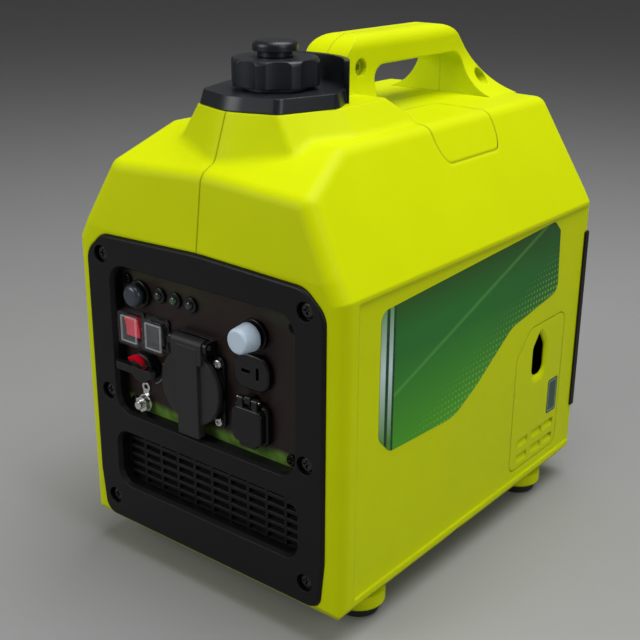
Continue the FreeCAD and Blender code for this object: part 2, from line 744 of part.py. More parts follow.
def lamps():
    sleeves, lenses = [], []
    for spot in lamp_row:
        face = panel_face
        sleeve = rod("y", spot, 5.4, face - 2.2, face).fuse(rod("y", spot, lamp_r, face, face + 9))
        sleeve = rounded(sleeve, 0.7, in_plane("y", face - 2.2))
        sleeves.append(sleeve.cut(rod("y", spot, 2.9, face - 5, face + 6)))
        lens = rounded(rod("y", spot, 2.9, face - 4.0, face + 6), 1.6, in_plane("y", face - 4.0))
        lenses.append(lens)
    keep("lamp_sleeves", group(sleeves))
    keep("lamp_lenses", group(lenses))


def switches():
    face = panel_face
    width, height = switch_size
    frames, boots = [], []
    for spot in (engine_switch_at, eco_switch_at):
        frame = prism(square(spot, width, height, 2.0), "y", face - 1.4, face)
        frame = frame.fuse(prism(square(spot, width - 4, height - 4, 1.0), "y", face, face + 20))
        well = prism(square(spot, width - 7, height - 6), "y", face - 2, face + 9)
        bore = rod("x", (face, spot[1]), 1.6 + slip, spot[0] - width / 2 + 2.5, spot[0] + width / 2 - 2.5)
        frames.append(frame.cut(well).cut(bore))
        boot = prism(square(spot, width - 0.6, height - 0.6, 2.0), "y", switch_boot_front, face - 1.4)
        boot = rounded(boot, 1.2, in_plane("y", switch_boot_front))
        room = prism(square(spot, width - 2.4, height - 2.4, 1.2), "y", switch_boot_front + 0.9, face)
        boots.append(boot.cut(room))
    keep("switch_frames", group(frames))
    keep("switch_splash_covers", group(boots))
    for name, spot in (("engine_rocker", engine_switch_at), ("eco_rocker", eco_switch_at)):
        x, z = spot
        wide = width - 7 - 2 * touch
        tall = height - 6 - 3.4
        rocker_face = face - 3.4
        corners = [(rocker_face, z + tall / 2, 1.2), (rocker_face + 0.9, z, 30),
                   (rocker_face, z - tall / 2, 1.2),
                   (face + 3, z - tall / 2 + 1.5, 1), (face + 3, z + tall / 2 - 1.5, 1)]
        rocker = prism(corners, "x", x - wide / 2, x + wide / 2)
        rocker = rocker.fuse(rod("x", (face, z), 1.6, x - width / 2 + 2.6, x + width / 2 - 2.6))
        rocker.rotate(Vector(x, face, z), Vector(1, 0, 0), rocker_rest)
        keep(name, rocker)


def mode_knob():
    face = panel_face
    hub = rod("y", knob_at, 10.6, face - 9.0, face - touch)
    hub = rounded(hub, 1.5, in_plane("y", face - 9.0))
    knob = hub.fuse(rod("y", knob_at, knob_shaft_r, face - touch, face + 14))
    x, z = knob_at
    front = face - 14.0
    blade = [(x - knob_reach, face - 11.0, 1.5), (x - knob_reach + 2, front, 2.5),
             (x + knob_reach - 2, front, 2.5), (x + knob_reach, face - 11.0, 1.5),
             (x + 9.0, face - 8.0, 1), (x - 9.0, face - 8.0, 1)]
    wing = prism(blade, "z", z - 2.6, z + 2.6)
    knob = knob.fuse(wing)
    keep("mode_knob", knob.removeSplitter())


def ground_terminal():
    face = panel_face
    stud = rod("y", ground_at, ground_r, face - 9.5, face + 12)
    stud = rounded(stud, 0.6, in_plane("y", face - 9.5))
    nut = hexagon("y", ground_at, 10.0, face - 6.2, face - 2.4)
    nut = nut.fuse(rod("y", ground_at, 6.0, face - 2.4, face - 1.2))
    nut = nut.cut(rod("y", ground_at, ground_r, face - 9, face))
    x, z = ground_at
    tag = rod("y", ground_at, 5.6, face - 1.2, face)
    tag = tag.fuse(block(x - 2.6, x + 2.6, face - 1.2, face, z, z + 11))
    tag = tag.fuse(rod("y", (x, z + 11), 3.6, face - 1.2, face))
    tag = tag.cut(rod("y", (x, z + 11), 1.8, face - 2, face + 1))
    tag = tag.cut(rod("y", ground_at, ground_r, face - 2, face + 1))
    keep("ground_terminal", group([stud, nut, tag]))


def socket():
    x, z = socket_at
    face = panel_face
    collar_front = face - 5.4
    flange = prism(square(socket_at, 2 * socket_half, 2 * socket_half, 4), "y", face - 2.5, face)
    flange = flange.fuse(rod("y", socket_at, lid_r - 1.0, collar_front, face))
    left, right = x - roll_half - 3.4, x + roll_half + 3.4
    ears = prism(rectangle(hinge_y - 3.4, face, hinge_z - 5, hinge_z + 3.4, 3.0), "x", left, right)
    ears = ears.cut(block(x - roll_half - touch, x + roll_half + touch, -big, big, 0, big))
    ears = ears.fuse(block(left, right, face - 1.8, face, z + socket_half - 3, hinge_z + 3.4))
    flange = flange.fuse(ears)
    flange = flange.fuse(rod("y", socket_at, socket_well_r + 2, face, face + 24))
    flange = flange.cut(rod("y", socket_at, socket_well_r, collar_front - 1, face + 12))
    flange = flange.cut(rod("x", (hinge_y, hinge_z), hinge_pin_r, x - 30, x + 30))
    for spot in socket_screw_points():
        flange = flange.cut(rod("y", spot, 1.7, face - 10, face))
    keep("socket_body", flange)
    lid_pin = rod("x", (hinge_y, hinge_z), hinge_pin_r, left, right)
    usb_pin = rod("x", (usb_hinge_y, usb_hinge_z), usb_pin_r, usb_at[0] - 9, usb_at[0] + 9)
    keep("hinge_pins", group([lid_pin, usb_pin]))
    insert = rod("y", socket_at, socket_well_r - 0.5, face + 3, face + 12)
    for side in (-1, 1):
        insert = insert.cut(rod("y", (x + side * 9.5, z), 2.5, face, face + 11))
        low, high = sorted((z + side * 16.5, z + side * 21))
        insert = insert.cut(block(x - 3, x + 3, face, face + 9, low, high))
    keep("socket_insert", insert)

    lid_back = collar_front - touch
    lid_front = lid_back - 3.6
    lid = rod("y", socket_at, lid_r, lid_front, lid_back)
    lid = rounded(lid, 1.2, in_plane("y", lid_front))
    strap_outline = rectangle(x - 9.4, x + 9.4, z - lid_r - 7.5, hinge_z - 1, 1.5)
    strap = prism(strap_outline, "y", lid_front - 2.2, lid_back)
    strap = rounded(strap, 0.8, in_plane("y", lid_front - 2.2))
    neck_outline = rectangle(x - roll_half, x + roll_half, z + lid_r - 7, hinge_z, 2)
    neck = prism(neck_outline, "y", hinge_y - hinge_roll_r, lid_back)
    lid = lid.fuse(strap).fuse(neck)
    lid = lid.fuse(rod("x", (hinge_y, hinge_z), hinge_roll_r, x - roll_half, x + roll_half))
    lid = lid.cut(rod("x", (hinge_y, hinge_z), hinge_pin_r + slip, x - 30, x + 30))
    lid = lid.cut(rod("y", socket_at, socket_well_r - 1, lid_back - 1.2, lid_back))
    keep("socket_lid", largest(lid.removeSplitter()))


def dc_outlet():
    x, z = dc_outlet_at
    face = panel_face
    body = prism(square(dc_outlet_at, 29, 23.6, 9.5), "y", face - 4.2, face)
    body = rounded(body, 1.6, in_plane("y", face - 4.2))
    body = body.fuse(prism(square(dc_outlet_at, 24, 19, 7), "y", face, face + 20))
    body = body.cut(block(x - 7.5, x - 0.5, face - 6, face + 14, z - 1.2, z + 1.2))
    body = body.cut(block(x + 4.2, x + 6.6, face - 6, face + 14, z - 4.2, z + 4.2))
    keep("dc_outlet", body)


def usb():
    x, z = usb_at
    face = panel_face
    body = prism(square(usb_at, 28, 27, 5), "y", face - 4.5, face)
    body = rounded(body, 1.4, in_plane("y", face - 4.5))
    body = body.fuse(prism(square(usb_at, 22, 22, 2), "y", face, face + 22))
    body = body.cut(prism(square(usb_at, 15, 6.5, 0.8), "y", face - 6, face + 14))
    lug_z = usb_hinge_z
    lug = prism(rectangle(face - 7.4, face, lug_z - 3.0, lug_z + 2.6, 1.2), "x", x - 2.2, x + 2.2)
    body = body.fuse(lug)
    pin = (usb_hinge_y, usb_hinge_z)
    keep("usb_outlet", body.cut(rod("x", pin, usb_pin_r, x - 20, x + 20)).removeSplitter())
    flap_back = face - 4.5 - touch
    flap = prism(square((x, z - 0.5), 24, 23.6, 4.5), "y", flap_back - 3.8, flap_back)
    flap = rounded(flap, 1.2, in_plane("y", flap_back - 3.8))
    for side in (-1, 1):
        near, far = x + side * 5.8 - 2.0, x + side * 5.8 + 2.0
        strap = block(near, far, flap_back - 2.6, flap_back, z + 9, usb_hinge_z)
        loop = rod("x", pin, 2.2, near, far)
        flap = flap.fuse(strap).fuse(loop)
    flap = flap.cut(rod("x", pin, usb_pin_r + slip, x - 20, x + 20))
    grip = prism(rectangle(x - 7, x + 7, z - 15.5, z - 10, 2), "y", flap_back - 2.4, flap_back)
    keep("usb_cover", flap.fuse(grip).removeSplitter())


# ---- rear -----------------------------------------------------------------------------
def rear_cover():
    low, high = rear_cover_span
    zone = block(-big, big, rear_cover_front, big, low, high)
    between_sides = block(-half_width, half_width, 0, big, 0, big)
    cover = full_block(-rear_cover_proud).common(zone).common(between_sides)
    cover = cover.cut(full_block(2.2).common(block(-big, big, 0, shell_rear - 3.0, low + 4, high - 4)))
    for side in (-1, 1):
        for row in range(9):
            z = low + 16 + row * 13.5
            x0, x1 = (24, 92) if side > 0 else (-92, -24)
            if side > 0 and abs(z + 2.7 - tailpipe_at[1]) < 32:
                x0 = 78
            cover = cover.cut(prism(rectangle(x0, x1, z, z + 5.5, 2.6), "y", 100, big))
    cover = cover.fuse(rod("y", tailpipe_at, 26.0, shell_rear - 6.0, shell_rear + rear_cover_proud))
    cover = cover.cut(rod("y", tailpipe_at, 21.0, shell_rear - 3.0, big))
    cover = cover.cut(rod("y", tailpipe_at, 14.0, 100, big))
    for x, z in rear_screws_at:
        cover = cover.cut(rod("y", (x, z), rear_screw_r + 0.2, 100, big))
        cover = cover.cut(rod("y", (x, z), 5.2, shell_rear - 0.2, big))
    keep("rear_cover", largest(cover))


def case_screws():
    parts = []
    for spot in bezel_screw_points():
        parts.append(pan_screw("y", spot, bezel_front + 4.4, -1, 4.6, 2.2, 1.95, 10.0))
    for spot in rear_screws_at:
        parts.append(pan_screw("y", spot, shell_rear - 0.2, 1, 4.6, 1.9, rear_screw_r, 14.0))
    seat = 12.0
    for spot in handle_screws_at:
        screw = rod("x", spot, handle_screw_r - 0.6, -seat, seat)
        for side in (-1, 1):
            low, high = sorted((side * seat, side * (seat + 2.4)))
            key_low, key_high = sorted((side * (seat + 0.6), side * (seat + 2.4)))
            head = rod("x", spot, handle_screw_r + 2.0, low, high)
            screw = screw.fuse(head.cut(hexagon("x", spot, 4.0, key_low, key_high)))
        parts.append(screw)
    keep("case_screws", group(parts))


# ---- inside ------------------------------------------------------------------------------
def engine():
    centre = (0.0, crank_z)
    mounts = [rod("z", (x, y), 9.0, floor_z + wall, 42) for x in (-62, 62) for y in mount_ys]
    keep("engine_mounts", group(mounts))
    case = prism(rectangle(-44, 44, 54, crank_z + 40, 14), "y", -6, 62)
    for side in (-1, 1):
        near, far = sorted((side * 30, side * 71))
        leg_near, leg_far = sorted((side * 30, side * 44))
        for y in mount_ys:
            case = case.fuse(block(near, far, y - 9, y + 9, 42, 52))
            case = case.fuse(block(leg_near, leg_far, y - 9, y + 9, 42, 70))
    case = case.fuse(rod("y", centre, 22.0, -12, -6))
    case = case.cut(prism(rectangle(-36, 36, 62, crank_z + 33, 10), "y", 2, 54))
    case = case.cut(rod("y", centre, shaft_r + slip, -20, 80))
    case = case.cut(rod("z", (0, engine_y), bore_r + 3, crank_z + 20, crank_z + 60))
    case = case.cut(rod("x", (52.0, 88.0), 8.0, 30, 60))
    keep("crankcase", largest(case))
    barrel = rod("z", (0, engine_y), bore_r + 6, crank_z + 40, crank_z + 78)
    for fin in range(6):
        z = crank_z + 44 + fin * 6
        barrel = barrel.fuse(prism(square((0, engine_y), 84, 66, 8), "z", z, z + 2.2))
    liner = rod("z", (0, engine_y), bore_r + 3, crank_z + 26, crank_z + 40)
    barrel = barrel.fuse(liner).cut(rod("z", (0, engine_y), bore_r, crank_z + 20, crank_z + 80))
    keep("cylinder", barrel.removeSplitter())
    head_low = crank_z + 78
    head = prism(square((0, engine_y), 84, 70, 8), "z", head_low, head_low + 8)
    for fin in range(3):
        x = -14.0 + 14 * fin
        head = head.fuse(block(x - 1.5, x + 1.5, engine_y - 33, engine_y + 33, head_low + 8, head_low + 19))
    head = head.fuse(rod("z", plug_at, 10.0, head_low + 8, head_low + 16))
    head = head.fuse(rod("y", (0, head_low + 6), 11, engine_y + 35, engine_y + 43))
    head = head.fuse(rod("x", (engine_y, head_low + 6), 11, -50, -42))
    head = head.cut(rod("z", plug_at, 5.0, head_low - 1, head_low + 20))
    keep("cylinder_head", head.removeSplitter())
    plug = rod("z", plug_at, 5.0, head_low, head_low + 16)
    plug = plug.fuse(hexagon("z", plug_at, 16.0, head_low + 16, head_low + 22))
    plug = plug.fuse(rod("z", plug_at, 4.4, head_low + 22, head_low + 42))
    keep("spark_plug", plug)
    boot = rod("z", plug_at, 8.6, head_low + 26, head_low + 56).fuse(
        rod("x", (plug_at[1], head_low + 50), 6.0, plug_at[0] - 24, plug_at[0]))
    boot = boot.cut(rod("z", plug_at, 4.4, head_low + 22, head_low + 42))
    crown = crank_z + 62
    piston = rod("z", (0, engine_y), bore_r - slip, crown - 22, crown)
    piston = piston.cut(rod("z", (0, engine_y), bore_r - 4, crown - 23, crown - 5))
    keep("piston", piston)
    coil_low = crank_z + fan_r + 14
    coil = block(-18, 18, -44, -24, coil_low, coil_low + 20)
    coil = coil.fuse(block(-5, 5, -36, -30, coil_low - 5, coil_low))
    keep("ignition_coil_and_boot", group([coil, boot]))
    shaft = rod("y", centre, shaft_r, rotor_front - 14, 66)
    shaft = shaft.fuse(rod("y", centre, 22.0, 14, 36))
    keep("crankshaft", shaft)
    keep("oil_filler_cap", rod("x", (52.0, 88.0), 7.9, 38, 44).fuse(rod("x", (52.0, 88.0), 12.0, 44, 60)))


def alternator():
    centre = (0.0, crank_z)
    rotor = rod("y", centre, rotor_r, rotor_front, rotor_back)
    rotor = rotor.cut(rod("y", centre, rotor_r - 8, rotor_front + 6, rotor_back + 1))
    rotor = rotor.fuse(rod("y", centre, 14.0, rotor_front, rotor_front + 14))
    rotor = rotor.cut(rod("y", centre, shaft_r, rotor_front - 1, rotor_back + 1))
    keep("flywheel_rotor", rotor)
    stator = rod("y", centre, 15.0, rotor_front + 16, -12).cut(rod("y", centre, shaft_r + 2, -200, 200))
    coils = rotor_r - 10
    for tooth in range(12):
        turn = 2 * math.pi * tooth / 12
        arm = block(-4.0, 4.0, rotor_front + 18, rotor_back - 4, 12, coils)
        arm.rotate(Vector(0, 0, 0), Vector(0, 1, 0), math.degrees(turn))
        arm.translate(Vector(0, 0, crank_z))
        stator = stator.fuse(arm)
    plate = ring("y", centre, 22.0, shaft_r + 2, -15.0, -12.0)
    keep("stator", stator.fuse(plate).removeSplitter())
    hub = ring("y", centre, 16.0, shaft_r, rotor_front - 14, rotor_front)
    disc = ring("y", centre, fan_r, 14.0, rotor_front - 3, rotor_front)
    fan = hub.fuse(disc)
    for blade in range(14):
        vane = block(-1.2, 1.2, rotor_front - 14, rotor_front - 2, 28, fan_r - 1)
        vane.rotate(Vector(0, 0, 28), Vector(0, 1, 0), 28)
        vane.rotate(Vector(0, 0, 0), Vector(0, 1, 0), 360.0 * blade / 14)
        vane.translate(Vector(0, 0, crank_z))
        fan = fan.fuse(vane)
    keep("cooling_fan", fan.removeSplitter())
    shroud = ring("y", centre, fan_r + 9, fan_r + 6, rotor_front - 16, -10)
    collar = ring("y", centre, fan_r + 9, 42, -13, -10)
    keep("fan_shroud", shroud.fuse(collar).removeSplitter())


def recoil():
    centre = (0.0, crank_z)
    back = rotor_front - 16
    front = back - 22
    dish = rod("y", centre, fan_r + 9, front, back).cut(rod("y", centre, fan_r + 6, front + 3, back + 1))
    for step in range(8):
        turn = math.radians(45 * step + 22.5)
        spot = (47 * math.cos(turn), crank_z + 47 * math.sin(turn))
        dish = dish.cut(rod("y", spot, 5.5, front - 1, front + 4))
    dish = dish.fuse(rod("y", centre, 6.0, front, back - 3))
    dish = dish.cut(rod("x", recoil_at, rope_r + touch, -half_width, half_width))
    keep("recoil_housing", dish)
    pulley = rod("y", centre, pulley_r, pull_y - 4, pull_y + 4)
    pulley = pulley.cut(ring("y", centre, pulley_r + 1, pulley_r - 9, pull_y - 2.2, pull_y + 2.2))
    pulley = pulley.cut(rod("y", centre, 6.0 + slip, -200, 0))
    keep("recoil_pulley", pulley)
    y, z = recoil_at
    rope_in = step_x - 12.0
    rope = rod("x", recoil_at, rope_r, -rope_in, -rope_in + rope_length)
    keep("starter_rope", rope)
    grip = prism(square(recoil_at, 20.0, 56.0, 9.5), "x", 0, 9.0)
    grip = rounded(grip, 2.6, in_plane("x", 0))
    grip.translate(Vector(-half_width + 1.0, 0, 0))
    grip = grip.fuse(rod("x", recoil_at, 7.0, -half_width + 10.0, -rope_in + 2.0))
    keep("recoil_grip", grip.cut(rod("x", recoil_at, rope_r, -rope_in, 0)))
    cup_depth = 18.0
    shell = prism(recoil_cup, "x", -half_width + 1.6, -half_width + 1.6 + cup_depth)
    shell = shell.fuse(prism(recoil_cup, "x", -step_x - 1.2, -step_x, 3.0))
    hollow = prism(recoil_cup, "x", -half_width - 5, -half_width + cup_depth - 0.4, -2.2)
    shell = shell.cut(hollow).cut(rod("x", recoil_at, rope_r + touch, -half_width, 0))
    shell = shell.cut(rod("x", recoil_at, 7.0 + touch, -half_width, -rope_in + 2.0 + touch))
    keep("recoil_grip_cup", largest(shell))


def fuel_system():
    tank = prism(rectangle(-66, 66, -134, -22, 16), "z", 214, 278)
    tank = rounded(tank, 6.0, lambda edge: in_plane("z", 278)(edge) or in_plane("z", 214)(edge))
    tank = tank.fuse(rod("z", (0, cap_y), neck_r, 270, neck_top))
    inside = prism(rectangle(-62.5, 62.5, -130.5, -25.5, 12.5), "z", 217.5, 274.5)
    tank = tank.cut(inside).cut(rod("z", (0, cap_y), neck_bore, 270, neck_top + 5))
    tank = tank.fuse(rod("z", (-40, -34), 6.0, 204, 214))
    keep("fuel_tank", tank.removeSplitter())
    carb = block(-84, -58, engine_y - 14, engine_y + 14, 172, 206)
    intake = (engine_y, intake_z)
    carb = carb.fuse(rod("x", intake, 9.0, -94, -50))
    carb = carb.fuse(rod("z", (-71, engine_y), 12.0, 152, 172))
    carb = carb.cut(rod("x", intake, 6.5, -100, -40))
    keep("carburettor", carb)
    box = rounded(block(-106, -94, -20, 96, 150, 204), 4.0, in_plane("x", -106))
    keep("air_filter_box", box.cut(rod("x", intake, 6.5, -100, -90)))
    points = [Vector(-40, -34, 204), Vector(-40, -34, 195), Vector(-56, -12, 190), Vector(-71, 2, 190),
              Vector(-71, engine_y - 14, 190)]
    keep("fuel_hose", tube_along(points, 3.0))


def tube_along(points, radius):
    """A round tube along straight runs joined by tangent arcs."""
    edges = []
    start = points[0]
    for before, here, after in zip(points, points[1:], points[2:]):
        to_before = before - here
        to_after = after - here
        run = 0.45 * min(to_before.Length, to_after.Length)
        to_before.normalize()
        to_after.normalize()
        half_angle = to_before.getAngle(to_after) / 2
        radius_here = run * math.tan(half_angle)
        first = here + to_before * run
        last = here + to_after * run
        bisector = to_before + to_after
        bisector.normalize()
        middle = here + bisector * (radius_here / math.sin(half_angle) - radius_here)
        edges.append(Part.LineSegment(start, first).toShape())
        edges.append(Part.Arc(first, middle, last).toShape())
        start = last
    edges.append(Part.LineSegment(start, points[-1]).toShape())
    path = Part.Wire(edges)
    along = points[1] - points[0]
    circle = Part.Wire([Part.makeCircle(radius, points[0], along)])
    return path.makePipeShell([circle], True, False)


def exhaust():
    low = crank_z + 8
    muffler = prism(rectangle(-64, 84, low, low + 92, 22), "y", 84, 132)
    muffler = rounded(muffler, 5.0, in_plane("y", 84))
    muffler = muffler.cut(prism(rectangle(-62, 82, low + 2, low + 90, 20), "y", 86, 130))
    muffler = muffler.cut(rod("y", tailpipe_at, 9.0, 120, 140))
    keep("muffler", muffler)
    tail = ring("y", tailpipe_at, 11.5, 9.5, 132, shell_rear - 1)
    tail = tail.fuse(ring("y", tailpipe_at, 15.0, 9.5, 132, 134))
    header = ring("y", (0, intake_z), 10.0, 7.5, engine_y + 43, 84)
    keep("exhaust_pipes", group([tail, header]))


def electrics():
    inverter = block(-72, 72, -112, -98, 96, 200)
    for fin in range(12):
        x = -66 + fin * 12
        inverter = inverter.fuse(block(x - 1.2, x + 1.2, -98, -93, 100, 196))
    keep("inverter_module", inverter)


for make in (shells, covers, side_label, trim, fuel_cap, feet, front_bezel, front_grille, control_panel,
             breakers, lamps, switches, mode_knob, ground_terminal, socket, dc_outlet, usb, rear_cover,
             case_screws, engine, alternator, recoil, fuel_system, exhaust, electrics):
    make()

os.makedirs("parts", exist_ok=True)
for name, shape in sorted(pieces.items()):
    placed = shape.copy()
    placed.translate(Vector(0, origin_shift, 0))
    placed.exportStep(os.path.join("parts", name + ".step"))
print(len(pieces), "pieces written")
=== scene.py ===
# %% [markdown]
# # A suitcase generator, dressed for a product picture
#
# The generator comes in as a fixed frame: every hard part is already modelled, at its real size,
# and each part rides on the body that moves it.  This notebook gives every visible surface its
# finish, adds the small pieces that only matter to the eye, and sets up light and camera.

# %% Load the frame
import math
import bmesh
import bpy
from mathutils import Matrix, Vector


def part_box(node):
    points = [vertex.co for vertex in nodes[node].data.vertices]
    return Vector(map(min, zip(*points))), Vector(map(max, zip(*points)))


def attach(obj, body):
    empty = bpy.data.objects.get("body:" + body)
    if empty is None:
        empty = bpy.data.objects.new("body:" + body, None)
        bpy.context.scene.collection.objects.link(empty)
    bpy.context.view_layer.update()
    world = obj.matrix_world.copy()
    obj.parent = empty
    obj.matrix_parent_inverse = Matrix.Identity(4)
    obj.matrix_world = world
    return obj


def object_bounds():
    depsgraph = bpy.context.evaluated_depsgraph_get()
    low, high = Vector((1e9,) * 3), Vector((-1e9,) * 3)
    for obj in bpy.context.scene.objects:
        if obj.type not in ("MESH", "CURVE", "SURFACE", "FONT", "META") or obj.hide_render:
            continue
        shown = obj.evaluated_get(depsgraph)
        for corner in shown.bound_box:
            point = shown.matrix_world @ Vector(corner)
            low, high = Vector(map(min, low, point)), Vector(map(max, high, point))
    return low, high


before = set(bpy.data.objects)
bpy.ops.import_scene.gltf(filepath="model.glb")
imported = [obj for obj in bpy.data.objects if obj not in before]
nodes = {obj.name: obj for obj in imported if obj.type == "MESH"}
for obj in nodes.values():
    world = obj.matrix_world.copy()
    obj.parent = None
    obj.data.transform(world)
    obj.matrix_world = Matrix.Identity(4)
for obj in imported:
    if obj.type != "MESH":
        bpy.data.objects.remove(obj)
cad_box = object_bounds()
mm = 0.001
print("parts in the frame:", len(nodes))
print("overall size in mm:", [round(1000 * v) for v in cad_box[1] - cad_box[0]])

# %% [markdown]
# ## Camera and light first
#
# A product picture is easier to judge when the view is settled before any finish is chosen.  The
# camera stands at the front right corner, a little above the lid, and looks slightly down.  It could
# be aimed with a Track To constraint, but two angles and a place say the same with nothing to solve.

# %% Camera
camera_place = (0.455, -0.602, 0.434)
camera_azimuth = 38.5
camera_elevation = 20.6
camera_roll = 0.4
camera_lens = 62.3

camera_data = bpy.data.cameras.new("camera")
camera_data.sensor_width = 36.0
camera_data.lens = camera_lens
camera = bpy.data.objects.new("camera", camera_data)
bpy.context.scene.collection.objects.link(camera)
turn = Matrix.Rotation(math.radians(camera_azimuth), 4, "Z")
tilt = Matrix.Rotation(math.radians(90 - camera_elevation), 4, "X")
roll = Matrix.Rotation(math.radians(camera_roll), 4, "Z")
camera.matrix_world = Matrix.Translation(camera_place) @ turn @ tilt @ roll
bpy.context.scene.camera = camera
print("camera stands", round(Vector(camera_place).length, 2), "m from the middle of the floor")

# %% [markdown]
# ## A plain floor
#
# The floor only catches the shadow.  One flat sheet is enough, as long as it reaches far past the
# top of the picture, so that no horizon line shows.  A sheet swept up behind the generator would do
# the same for a camera that looks level.

# %% Floor
def finish_mesh(bm, name, smooth=True):
    """Turn a bmesh into an object in the scene, with clean outward normals."""
    bmesh.ops.remove_doubles(bm, verts=bm.verts, dist=1e-6)
    bmesh.ops.recalc_face_normals(bm, faces=bm.faces)
    for face in bm.faces:
        face.smooth = smooth
    mesh = bpy.data.meshes.new(name)
    bm.to_mesh(mesh)
    bm.free()
    piece = bpy.data.objects.new(name, mesh)
    bpy.context.scene.collection.objects.link(piece)
    return piece


floor_half = 9.0
bm = bmesh.new()
bmesh.ops.create_grid(bm, x_segments=1, y_segments=1, size=floor_half)
floor = finish_mesh(bm, "studio_floor", smooth=False)

# %% [markdown]
# ## Studio light
#
# Moulded plastic shows its form by the wide soft highlights of large lamps.  One large lamp hangs
# over the generator and brightens the roof and the slanted shoulders.  Two weak ones, at the left
# front and at the right, keep the walls readable, and the surroundings are dim, so that the blacks
# stay black.

# %% Lamps
def soft_lamp(name, place, target, size, power):
    data = bpy.data.lights.new(name, "AREA")
    data.shape = "RECTANGLE"
    data.size, data.size_y = size
    data.energy = power
    lamp = bpy.data.objects.new(name, data)
    bpy.context.scene.collection.objects.link(lamp)
    aim = Vector(target) - Vector(place)
    lamp.matrix_world = Matrix.Translation(place) @ aim.to_track_quat("-Z", "Y").to_matrix().to_4x4()


middle = (cad_box[0] + cad_box[1]) / 2
soft_lamp("top_light", (0.30, 0.15, 1.5), middle, (1.3, 1.1), 23.0)
soft_lamp("front_light", (-0.75, -1.35, 0.85), middle, (0.9, 0.9), 11.5)
soft_lamp("side_light", (1.5, -0.3, 0.8), middle, (0.5, 1.0), 5.5)
world = bpy.data.worlds.new("studio")
world.use_nodes = True
world.node_tree.nodes["Background"].inputs["Color"].default_value = (1.0, 1.0, 1.0, 1.0)
world.node_tree.nodes["Background"].inputs["Strength"].default_value = 0.12
bpy.context.scene.world = world
bpy.context.scene.view_settings.view_transform = "Standard"

# %% [markdown]
# ## Shared effects
#
# Every plastic on this machine shows the same few effects at different strengths: edges that are
# never quite sharp, a fine grain from the mould, a slow drift of colour and gloss, and a little dust
# on whatever faces up.  Each effect is built once as a node group, and a material sets its numbers.

# %% A small kit for building node trees
def add(tree, kind, **settings):
    """Add a node; settings that name an input fill it, the others are properties."""
    node = tree.nodes.new(kind)
    for key, value in settings.items():
        if key in node.inputs:
            node.inputs[key].default_value = value
        else:
            setattr(node, key, value)
    return node


def math_node(tree, operation, first, second=None, clamp=False):
    node = tree.nodes.new("ShaderNodeMath")
    node.operation = operation
    node.use_clamp = clamp
    for index, value in enumerate((first, second)):
        if isinstance(value, bpy.types.NodeSocket):
            tree.links.new(value, node.inputs[index])
        elif value is not None:
            node.inputs[index].default_value = value
    return node.outputs[0]


def mix_colours(tree, factor, first, second):
    node = tree.nodes.new("ShaderNodeMix")
    node.data_type = "RGBA"
    for name, value in ((0, factor), (6, first), (7, second)):
        if isinstance(value, bpy.types.NodeSocket):
            tree.links.new(value, node.inputs[name])
        elif isinstance(value, (int, float)):
            node.inputs[name].default_value = value
        else:
            node.inputs[name].default_value = (*value, 1.0)
    return node.outputs[2]


def spread(tree, value, low, high, out_low=0.0, out_high=1.0):
    """Map a value from one range to another, held at the ends."""
    node = tree.nodes.new("ShaderNodeMapRange")
    tree.links.new(value, node.inputs["Value"])
    node.inputs["From Min"].default_value = low
    node.inputs["From Max"].default_value = high
    node.inputs["To Min"].default_value = out_low
    node.inputs["To Max"].default_value = out_high
    return node.outputs["Result"]


def new_group(name, inputs, outputs):
    tree = bpy.data.node_groups.new(name, "ShaderNodeTree")
    for label, kind, value in inputs:
        socket = tree.interface.new_socket(name=label, in_out="INPUT", socket_type=kind)
        socket.default_value = value
    for label, kind in outputs:
        tree.interface.new_socket(name=label, in_out="OUTPUT", socket_type=kind)
    return tree, tree.nodes.new("NodeGroupInput"), tree.nodes.new("NodeGroupOutput")


def noise(tree, coordinate, scale, detail=3.0, roughness=0.5):
    node = add(tree, "ShaderNodeTexNoise", Scale=scale, Detail=detail, Roughness=roughness)
    tree.links.new(coordinate, node.inputs["Vector"])
    return node.outputs["Fac"]


# %% [markdown]
# ### Soft edges
#
# A moulded edge has a small radius that catches a thin line of light, and with use its gloss rubs
# off.  Modelling that radius on sixty parts would cost a great many triangles.  The Bevel node blends
# the normals round each edge, and where its normal differs from the true one there is an edge, so
# the same node also gives the mask for wear.

# %% Soft edges
def make_soft_edges():
    tree, inside, outside = new_group(
        "soft edges",
        [("Radius", "NodeSocketFloat", 0.0006), ("Patchiness", "NodeSocketFloat", 0.5)],
        [("Wear", "NodeSocketFloat"), ("Normal", "NodeSocketVector")])
    bevel = add(tree, "ShaderNodeBevel", samples=4)
    tree.links.new(inside.outputs["Radius"], bevel.inputs["Radius"])
    true_normal = tree.nodes.new("ShaderNodeNewGeometry")
    dot = add(tree, "ShaderNodeVectorMath", operation="DOT_PRODUCT")
    tree.links.new(bevel.outputs["Normal"], dot.inputs[0])
    tree.links.new(true_normal.outputs["Normal"], dot.inputs[1])
    edge = spread(tree, dot.outputs["Value"], 0.985, 0.8)
    place = tree.nodes.new("ShaderNodeTexCoord")
    patches = noise(tree, place.outputs["Object"], 90.0, 4.0, 0.6)
    patches = spread(tree, patches, 0.38, 0.62)
    faded = math_node(tree, "SUBTRACT", 1.0, patches)
    faded = math_node(tree, "MULTIPLY", faded, inside.outputs["Patchiness"])
    wear = math_node(tree, "MULTIPLY", edge, math_node(tree, "SUBTRACT", 1.0, faded), clamp=True)
    tree.links.new(wear, outside.inputs["Wear"])
    tree.links.new(bevel.outputs["Normal"], outside.inputs["Normal"])
    return tree


# %% [markdown]
# ### Mould grain and slow drift
#
# The steel mould is spark-eroded, which leaves a fine pebble on the plastic, and the melt cools
# unevenly, which leaves broad clouds of slightly different gloss.  A small cellular pattern gives
# the pebble, and one wide noise gives the clouds.

